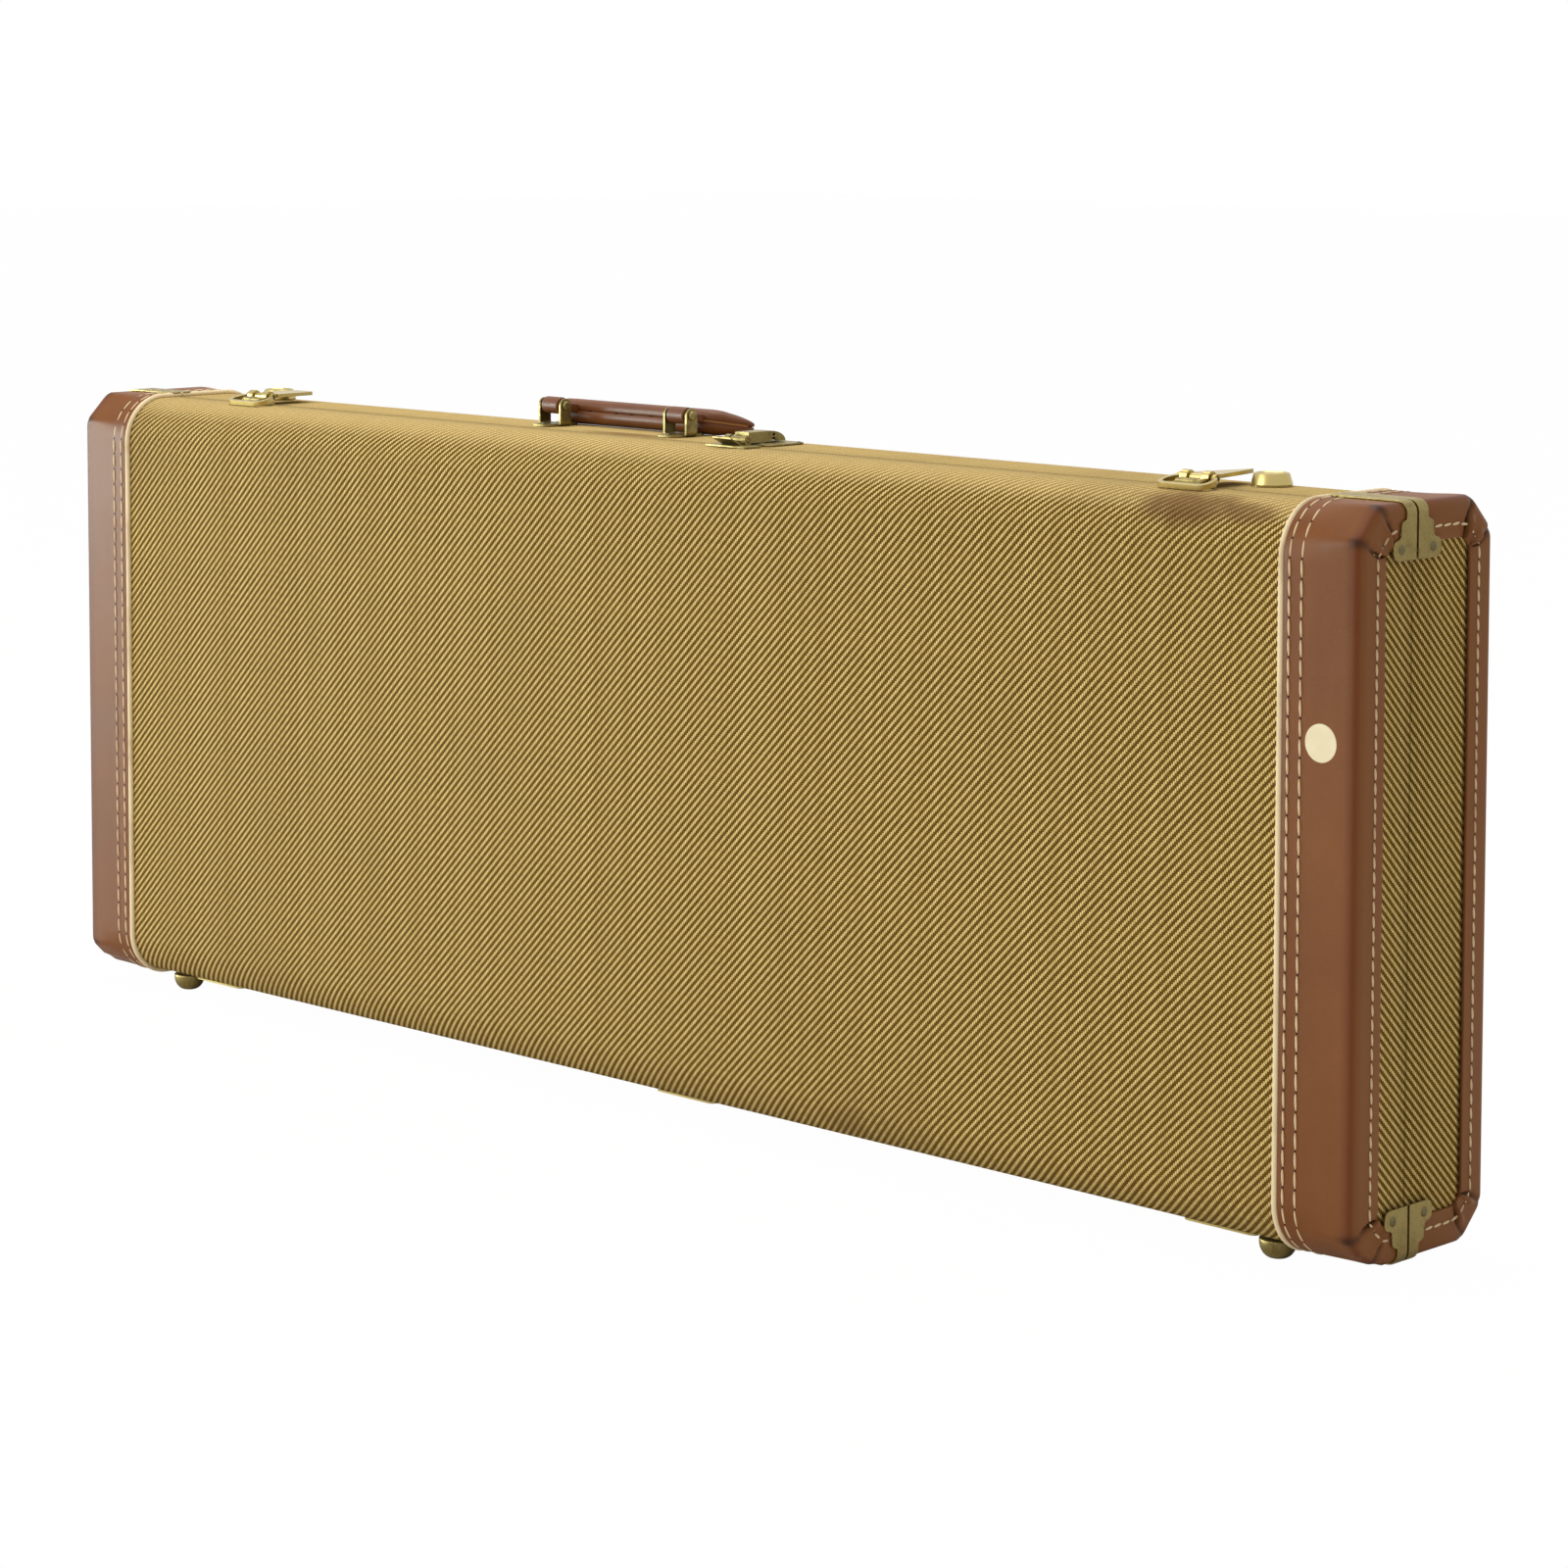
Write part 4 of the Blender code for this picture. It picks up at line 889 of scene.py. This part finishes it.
def stitching():
    """Two rows of thread along the leather's inner edge, one round each window, and the needle's holes."""
    for side, word, end, hand in QUARTERS:
        thread, holes = bmesh.new(), bmesh.new()
        for row in STITCH_ROWS:
            x = end * (HALF - CAP[end] + row)
            line = [Vector((x, y, z)) for y, z in half_section(side, 0.0)]
            for start, stop in stations(line, FACE_STITCH):
                away = Vector((0, (stop - start).z, -(stop - start).y)).normalized()
                middle = (start + stop) / 2
                if away.dot(Vector((0, middle.y, middle.z - MIDDLE))) < 0:
                    away = -away
                sew(thread, start, stop, away, FACE_SLANT)
                prick(holes, start, away)
        away = Vector((end, 0, 0))
        line = [Vector((end * HALF, y, z)) for y, z in border_line(side)]
        for start, stop in stations(line, END_STITCH):
            beside_clips = abs((start.y + stop.y) / 2 - SEAM_Y) > CLIP_HALF
            between_clips = abs(start.z - MIDDLE) < HEIGHT / 2 - CLIP_REACH
            if beside_clips or between_clips:
                sew(thread, start, stop, away, END_SLANT)
                prick(holes, start, away)
        piece(f"{word}_stitches_{hand}", thread, CREAM_THREAD, word, sharp=60)
        piece(f"{word}_needle_holes_{hand}", holes, NEEDLE_HOLE, word, sharp=60)


def prick(bm, place, up):
    """One needle hole: a small dark dint, painted shade for the hole, that stands hardly above the leather.
    """
    pose = Matrix.Translation(place) @ facing(up) @ Matrix.Diagonal((*NEEDLE_DINT, 1.0))
    bmesh.ops.create_icosphere(bm, subdivisions=1, radius=1.0, matrix=pose)


def add(bm, other):
    """Puts a second mesh into the first."""
    mesh = bpy.data.meshes.new("share")
    other.to_mesh(mesh)
    other.free()
    bm.from_mesh(mesh)
    bpy.data.meshes.remove(mesh)


def softened(node, material, body, width=SOFT_EDGE, name=None):
    """A solid of the frame with its edges eased, in its own finish."""
    bm = bmesh.new()
    bm.from_mesh(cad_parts[node].data)
    bmesh.ops.remove_doubles(bm, verts=bm.verts, dist=WELD)
    bmesh.ops.dissolve_limit(bm, angle_limit=radians(2), verts=bm.verts, edges=bm.edges)
    made = piece(name or f"{node}_eased", bm, material, body, [node], sharp=35)
    ease_edges(made, width)
    return made


def spun(profile, place, axis=(0, 0, 1), steps=32):
    """A mesh turned from a profile (radius, height) about an axis through place."""
    bm = bmesh.new()
    ring = [bm.verts.new((radius, 0, height)) for radius, height in profile]
    edges = [bm.edges.new(pair) for pair in zip(ring, ring[1:])]
    bmesh.ops.spin(bm, geom=ring + edges, cent=(0, 0, 0), axis=(0, 0, 1), angle=2 * pi, steps=steps,
                   use_merge=True)
    bmesh.ops.remove_doubles(bm, verts=bm.verts, dist=TINY)
    place_mesh(bm, Matrix.Translation(place) @ facing(axis))
    return bm


def dome(radius, height, flat, steps):
    """A quarter round (radius, height), from the edge of its flat crown out to its foot."""
    turns = [pi / 2 * step / steps for step in range(steps + 1)]
    return [(flat + (radius - flat) * sin(turn), height * cos(turn)) for turn in turns]


def rivets(name, places, axis, size, body, material=DARK_RIVET):
    """Low round rivet heads of one radius and height, all in one piece."""
    radius, height = size
    profile = [(0.0, height)] + dome(radius, height, radius * 0.25, 4) + [(0.0, 0.0)]
    bm = bmesh.new()
    for place in places:
        add(bm, spun(profile, place, axis, steps=16))
    piece(name, bm, material, body, sharp=50)


def seam_clips():
    """The hammered clips at the ends of the seam, with their rivets."""
    for side, word, end, hand in QUARTERS:
        rim = seam_rim(side)
        for level, where in LEVELS:
            node = f"{word}_clip_{where}_{hand}"
            clip = softened(node, HAMMERED_BRASS, word, FINE_EDGE)
            for vert in clip.data.vertices:
                if abs(vert.co.y - rim) < CLIP_GAP:
                    vert.co.y = rim + side * CLIP_GAP
            z = MIDDLE + level * (HEIGHT / 2 - CLIP_RIVET_IN)
            spot = (end * (HALF + CLIP_RIVET_OUT), rim + side * CLIP_RIVET_ASIDE, z)
            rivets(f"{node}_rivet", [spot], (end, 0, 0), CLIP_RIVET, word)


def feet():
    """Cast brass feet, domed and rubbed."""
    for _, word, _, hand in QUARTERS:
        node = f"{word}_foot_{hand}"
        low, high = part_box(node)
        middle = middle_of(node)
        radius = (high.x - low.x) / 2
        height = high.z - low.z
        rise = height - FOOT_RIM
        profile = [(0.0, 0.0)] + [(wide, rise - up) for wide, up in dome(radius, rise, FOOT_FLAT, FOOT_STEPS)]
        profile += [(radius, height - FOOT_EASE), (radius - FOOT_EASE, height), (0.0, height)]
        bm = spun(profile, (middle.x, middle.y, 0.0))
        piece(f"{word}_domed_foot_{hand}", bm, AGED_BRASS, word, [node], sharp=50)


def hinges():
    """The leaves and pins of the three hinges under the case."""
    for spot in ("left", "centre", "right"):
        softened(f"{spot}_hinge_base_leaf", BRIGHT_BRASS, "base")
        softened(f"{spot}_hinge_lid_leaf", BRIGHT_BRASS, "lid")
        softened(f"{spot}_hinge_pin", AGED_BRASS, "base", FINE_EDGE)


def latches():
    """The outer latches, with the studs that hold their plates."""
    for _, hand in ENDS:
        fatten(softened(f"{hand}_latch_plate", BRIGHT_BRASS, "lid"), hand)
        softened(f"{hand}_latch_pin", DARK_RIVET, "lid", FINE_EDGE)
        housing(hand)
        finger_ring(hand)
        bent_tongue(hand)
        round_post(hand)
        low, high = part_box(f"{hand}_latch_plate")
        spots = [((low.x + high.x) / 2 + aside, low.y + PLATE_STUD_IN, low.z + PLATE)
                 for aside in (-PLATE_STUD_ASIDE, PLATE_STUD_ASIDE)]
        rivets(f"{hand}_latch_studs", spots, (0, 0, 1), PLATE_STUD, "lid", AGED_BRASS)


def round_post(hand):
    """The round post beside a latch, with a dished top and a thin brim."""
    node = f"{hand}_keeper"
    low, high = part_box(node)
    wide = (high.x - low.x) / 2
    tall = high.z - low.z
    profile = [(radius, tall + drop) for radius, drop in POST_TOP] + list(POST_FLANK)
    profile += [(wide, 2 * POST_BRIM), (wide + POST_BRIM, POST_BRIM), (wide + POST_BRIM, 0.0), (0.0, 0.0)]
    middle = middle_of(node)
    bm = spun(profile, (middle.x, middle.y, low.z), steps=40)
    piece(f"{hand}_domed_keeper", bm, BRIGHT_BRASS, "base", [node], sharp=30)


def centre_latch():
    """The latch with the lock, and the studs of the lock's plate."""
    for node, body in (("centre_latch_plate", "lid"), ("centre_latch_pin", "lid"), ("centre_hasp", "hasp"),
                       ("centre_lock", "base")):
        softened(node, AGED_BRASS, body)
    low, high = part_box("centre_lock")
    spots = [(x, y, high.z) for x in (low.x + LOCK_STUD_ASIDE, high.x - LOCK_STUD_ASIDE)
             for y in (low.y + LOCK_STUD_FRONT, high.y - LOCK_STUD_BACK)]
    rivets("centre_lock_studs", spots, (0, 0, 1), LOCK_STUD, "base")


def band(line, width, thick):
    """A flat strip that follows a line of points in its own plane."""
    bm = bmesh.new()
    rings = []
    for index, point in enumerate(line):
        along = (line[min(index + 1, len(line) - 1)] - line[max(index - 1, 0)]).normalized()
        side = Vector((-along.y, along.x)) * width / 2
        rings.append([bm.verts.new((*(point + side * s), thick / 2 * t))
                      for s, t in ((1, 1), (-1, 1), (-1, -1), (1, -1))])
    join_rings(bm, rings)
    return bm


def finger_ring(hand):
    """The stirrup that a fingertip lifts: a flat band between two eyes on the latch's pin."""
    arm = [Vector(c) for c in ((RING_EYE, -RING_ROOT), (RING_HALF, -RING_SHOULDER), (RING_HALF, -RING_REACH))]
    corners = arm + [Vector((-x, y)) for x, y in reversed(arm)]
    bends = eased(corners, RING_CORNER)[BEND_STEPS + 1:-BEND_STEPS - 1]
    bm = band([corners[0]] + bends + [corners[-1]], RING_WIDTH, RING_THICK)
    wall = [(RING_BORE, -RING_EYE_HALF), (RING_KNUCKLE, -RING_EYE_HALF), (RING_KNUCKLE, RING_EYE_HALF),
            (RING_BORE, RING_EYE_HALF), (RING_BORE, -RING_EYE_HALF)]
    for end in (LEFT, RIGHT):
        add(bm, spun(wall, (end * RING_EYE, 0, 0), (1, 0, 0), steps=20))
    pin = middle_of(f"{hand}_latch_pin")
    place_mesh(bm, Matrix.Translation(pin) @ Matrix.Rotation(radians(RING_TILT), 4, "X"))
    made = piece(f"{hand}_finger_ring", bm, BRIGHT_BRASS, f"{hand}_ring", [f"{hand}_latch_ring"])
    ease_edges(made, RING_EASE)


def housing(hand):
    """The low block in front of a latch's barrel, inside the ring."""
    pin = middle_of(f"{hand}_latch_pin")
    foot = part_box(f"{hand}_latch_plate")[0].z
    line = [Vector((x, -HOUSING_REACH / 2 - HOUSING_GAP)) for x in (-HOUSING_HALF, HOUSING_HALF)]
    bm = band(line, HOUSING_REACH, pin.z - foot)
    place_mesh(bm, Matrix.Translation((pin.x, pin.y, (pin.z + foot) / 2)))
    made = piece(f"{hand}_latch_housing", bm, AGED_BRASS, "lid")
    ease_edges(made, HOUSING_EASE, segments=3)


def fatten(made, hand):
    """Rolls the knuckles of a latch's barrel fuller over the pin."""
    pin = middle_of(f"{hand}_latch_pin")
    for vert in made.data.vertices:
        off = Vector((0, vert.co.y - pin.y, vert.co.z - pin.z))
        if off.length < BARREL_REACH:
            vert.co += off * BARREL_SWELL * smooth_step((off.z + BARREL_FOOT) / BARREL_FADE)


def bent_tongue(hand):
    """The tongue, drawn out a little at its tip. The right one has been bent down along its left edge."""
    pin = middle_of(f"{hand}_latch_pin")
    made = softened(f"{hand}_latch_tongue", BRIGHT_BRASS, f"{hand}_tongue", TONGUE_EASE)
    for vert in made.data.vertices:
        reach = smooth_step((vert.co.y - pin.y - TONGUE_ROOT) / TONGUE_RUN)
        vert.co.y += TONGUE_DRAW * reach
        if hand == "right":
            vert.co.z -= TONGUE_BEND * reach * (pin.x + TONGUE_HALF - vert.co.x) / (2 * TONGUE_HALF)


def handle():
    """The folded brackets, their pins and the padded leather grip with its loops."""
    for _, hand in ENDS:
        node = f"handle_bracket_{hand}"
        softened(node, AGED_BRASS, "base")
        softened(f"handle_pin_{hand}", AGED_BRASS, "base", BRACKET_PIN_EASE)
        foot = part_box(node)[0].z + BRACKET_STUD_UP
        middle = middle_of(node)
        spots = [(middle.x, middle.y + aside, foot) for aside in (-BRACKET_STUD_ASIDE, BRACKET_STUD_ASIDE)]
        rivets(f"handle_studs_{hand}", spots, (0, 0, 1), BRACKET_STUD, "base")
    left, right = (middle_of(f"handle_pin_{hand}") for _, hand in ENDS)
    pose = Matrix.Translation((left + right) / 2) @ Matrix.Rotation(radians(GRIP_TILT), 4, "X")
    sunk = Matrix.Translation((0, 0, -GRIP_SAG)) @ pose
    corners = [Vector(c) for c in ((-GRIP_NEAR_HALF, GRIP_NEAR), (GRIP_NEAR_HALF, GRIP_NEAR),
                                   (GRIP_FAR_HALF, GRIP_FAR), (-GRIP_FAR_HALF, GRIP_FAR))]
    padded_grip(corners, sunk)
    cut_edge(corners, sunk)
    rolled_loops((right - left).length / 2, pose)
    grip_slits(sunk)


def drawn_in(corners, inset):
    """The corners of a convex outline after all its sides have moved inwards by the same distance."""
    sides = []
    for start, stop in zip(corners, corners[1:] + corners[:1]):
        along = (stop - start).normalized()
        sides.append((start + Vector((-along.y, along.x)) * inset, along))
    moved = []
    for (p, d), (q, e) in zip(sides[-1:] + sides[:-1], sides):
        moved.append(p + d * ((q - p).cross(e) / d.cross(e)))
    return moved


def eased(corners, cut, steps=BEND_STEPS):
    """A closed line through an outline's corners, each rounded off over the same length of both its sides."""
    line = []
    for index, corner in enumerate(corners):
        before = (corners[index - 1] - corner).normalized() * cut
        after = (corners[(index + 1) % len(corners)] - corner).normalized() * cut
        for step in range(steps + 1):
            t = step / steps
            line.append(corner + before * (1 - t) ** 2 + after * t ** 2)
    return line


def grip_levels():
    """The grip's outline from below to above: each level's height, and how far it is drawn in."""
    half = GRIP_THICK / 2
    seam = GRIP_SEAM[-1][0]
    rise, crown = GRIP_CROWN
    levels = list(GRIP_SEAM)
    levels += [(z, GRIP_ROUND - out) for z, out in dome(half, GRIP_ROUND, seam, BEND_STEPS)[1:]]
    levels.append((half + rise, GRIP_ROUND + crown))
    return [(-z, inset) for z, inset in reversed(levels[1:])] + levels


def padded_grip(corners, pose):
    """The padded grip, its two leathers pressed together along a seam."""
    bm = bmesh.new()
    rings = []
    for z, inset in grip_levels():
        line = eased(drawn_in(corners, inset), GRIP_CORNER - inset * 0.5)
        rings.append([bm.verts.new((x, y, z)) for x, y in line])
    join_rings(bm, rings)
    long_edges = [e for e in bm.edges if e.calc_length() > GRIP_LONG_EDGE]
    bmesh.ops.subdivide_edges(bm, edges=long_edges, cuts=GRIP_CUTS, use_grid_fill=True)
    for vert in bm.verts:
        far = smooth_step((vert.co.y - GRIP_TAPER_FROM) / (GRIP_FAR - GRIP_TAPER_FROM))
        vert.co.z *= 1 - GRIP_TAPER * far
    bmesh.ops.transform(bm, matrix=pose, verts=bm.verts)
    made = piece("padded_grip", bm, GRIP_LEATHER, "handle", ["handle_grip"], sharp=70)


def cut_edge(corners, pose):
    """The raw edge of the leather, showing along the seam at the grip's right end."""
    line = eased(drawn_in(corners, CUT_EDGE_IN), CUT_EDGE_CORNER, CUT_EDGE_STEPS)
    shown = [p for p in line if p.x > CUT_EDGE_FROM and p.y < GRIP_FAR - CUT_EDGE_STOP]
    bm = band(shown, CUT_EDGE_WIDTH, CUT_EDGE_THICK)
    place_mesh(bm, pose)
    piece("grip_raw_edge", bm, RAW_EDGE, "handle", sharp=60)


def rolled_loops(aside, pose):
    """The two straps of the grip, each rolled round its pin."""
    bm = bmesh.new()
    strap = LOOP_RADIUS * 0.5
    tuck = GRIP_NEAR + LOOP_TUCK
    turns = [pi / 6 + (2 * pi - pi / 3) * step / LOOP_STEPS for step in range(LOOP_STEPS + 1)]
    outline = [(LOOP_RADIUS * cos(turn), LOOP_RADIUS * sin(turn)) for turn in turns]
    outline = [(tuck, strap)] + outline + [(tuck, -strap)]
    for end in (LEFT, RIGHT):
        sides = [end * aside + at for at in (-LOOP_HALF, LOOP_HALF)]
        join_rings(bm, [[bm.verts.new((x, y, z)) for y, z in outline] for x in sides])
    place_mesh(bm, pose)
    made = piece("rolled_loops", bm, GRIP_LEATHER, "handle", sharp=50)
    ease_edges(made, LOOP_EASE, segments=3, angle=60)


def grip_slits(pose):
    """Short gaps where the grip's seam has opened: dark pieces, painted shade inside the gaps."""
    bm = bmesh.new()
    for x in SLITS:
        place = Matrix.Translation((x, GRIP_NEAR + SLIT_IN, 0.0)) @ Matrix.Diagonal((*SLIT_SIZE, 1.0))
        bmesh.ops.create_icosphere(bm, subdivisions=2, radius=1.0, matrix=pose @ place)
    piece("grip_slits", bm, NEEDLE_HOLE, "handle", sharp=60)


def sticker():
    """A blank round sticker on the leather near the neck end."""
    radius, thick = STICKER_RADIUS, STICKER_THICK
    profile = [(0.0, thick), (radius * 0.5, thick), (radius - STICKER_EASE, thick), (radius, 0.0), (0.0, 0.0)]
    bm = spun(profile, STICKER_PLACE, (0, -1, 0), steps=48)
    piece("blank_sticker", bm, PAPER, "lid", sharp=20)


def insides():
    """Plush linings and padded fittings, seen when the lid is open, and the plywood behind them."""
    for _, word in HALVES:
        softened(f"{word}_lining", PLUSH, word, LINING_EASE, f"{word}_plush_lining")
    for node in ("lid_shell", "base_shell", "base_rim"):
        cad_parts[node].data.materials.clear()
        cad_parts[node].data.materials.append(PLYWOOD)
    for node, body in (("body_block_upper", "base"), ("body_block_lower", "base"), ("neck_cradle", "base"),
                       ("accessory_divider", "base"), ("lid_pad", "lid")):
        made = softened(node, PLUSH, body, PLUSH_EASE, f"{node}_plush")
        made.modifiers["ease"].segments = 3


def white_room():
    """Warm light all round, seen as plain white."""
    world = bpy.data.worlds.new("white_room")
    scene.world = world
    world.use_nodes = True
    room = Graph(world.node_tree)
    light = room.nodes["Background"]
    room.plug(light.inputs["Color"], ROOM_TINT)
    room.plug(light.inputs["Strength"], ROOM_LIGHT)
    seen = room.node("Background", {}, {"Color": WHITE, "Strength": 1.0})
    camera = room.node("LightPath", {}, out="Is Camera Ray")
    shown = camera.most(camera.beside("Is Transmission Ray")).most(camera.beside("Is Glossy Ray"))
    both = room.node("MixShader", {}, (shown, Wire(room, light.outputs[0]), seen))
    room.plug(room.nodes["World Output"].inputs["Surface"], both)


def pale_floor():
    """A plain floor that shows almost white and keeps the case's shadow."""
    bm = bmesh.new()
    bmesh.ops.create_grid(bm, x_segments=1, y_segments=1, size=FLOOR_SIZE)
    mesh = bpy.data.meshes.new("floor")
    bm.to_mesh(mesh)
    bm.free()
    floor = bpy.data.objects.new("floor", mesh)
    scene.collection.objects.link(floor)
    paint = Paint("pale_floor", base_color=FLOOR_TINT, roughness=0.9)
    glow = paint.node("Emission", {}, {"Color": WHITE})
    share = paint.node("LightPath", {}, out="Is Camera Ray") * FLOOR_SHOWN
    both = paint.node("MixShader", {}, (share, Wire(paint, paint.shader.outputs[0]), glow))
    paint.plug(paint.nodes["Material Output"].inputs["Surface"], both)
    mesh.materials.append(paint.material)


def soft_lamps():
    """Large soft lamps. The one at the side gives only the sheen on leather and brass."""
    for name, (place, aim, size, power, tint) in LAMPS.items():
        lamp = bpy.data.lights.new(name, "AREA")
        lamp.size = size
        lamp.energy = power
        lamp.color = tint
        holder = bpy.data.objects.new(name, lamp)
        holder.location = place
        holder.rotation_euler = (Vector(aim) - Vector(place)).to_track_quat("-Z", "Y").to_euler()
        holder.visible_diffuse = name != "sheen"
        scene.collection.objects.link(holder)


def photo_camera():
    """The camera where the photograph was taken from."""
    lens = bpy.data.cameras.new("photo_camera")
    lens.sensor_width = CAMERA_SENSOR
    lens.lens = CAMERA_LENS
    lens.shift_y = CAMERA_SHIFT
    camera = bpy.data.objects.new("photo_camera", lens)
    camera.location = CAMERA_PLACE
    turn, drop, roll = CAMERA_ANGLES
    look = Vector((-sin(turn) * cos(drop), cos(turn) * cos(drop), -sin(drop)))
    level = look.to_track_quat("-Z", "Y").to_matrix()
    camera.rotation_euler = (level @ Matrix.Rotation(roll, 3, "Z")).to_euler()
    scene.collection.objects.link(camera)
    scene.camera = camera


scene.view_settings.view_transform = "Standard"
white_room()
pale_floor()
soft_lamps()
photo_camera()
tweed_covers()
leather_ends()
pipings()
stitching()
seam_clips()
feet()
hinges()
latches()
centre_latch()
handle()
sticker()
insides()
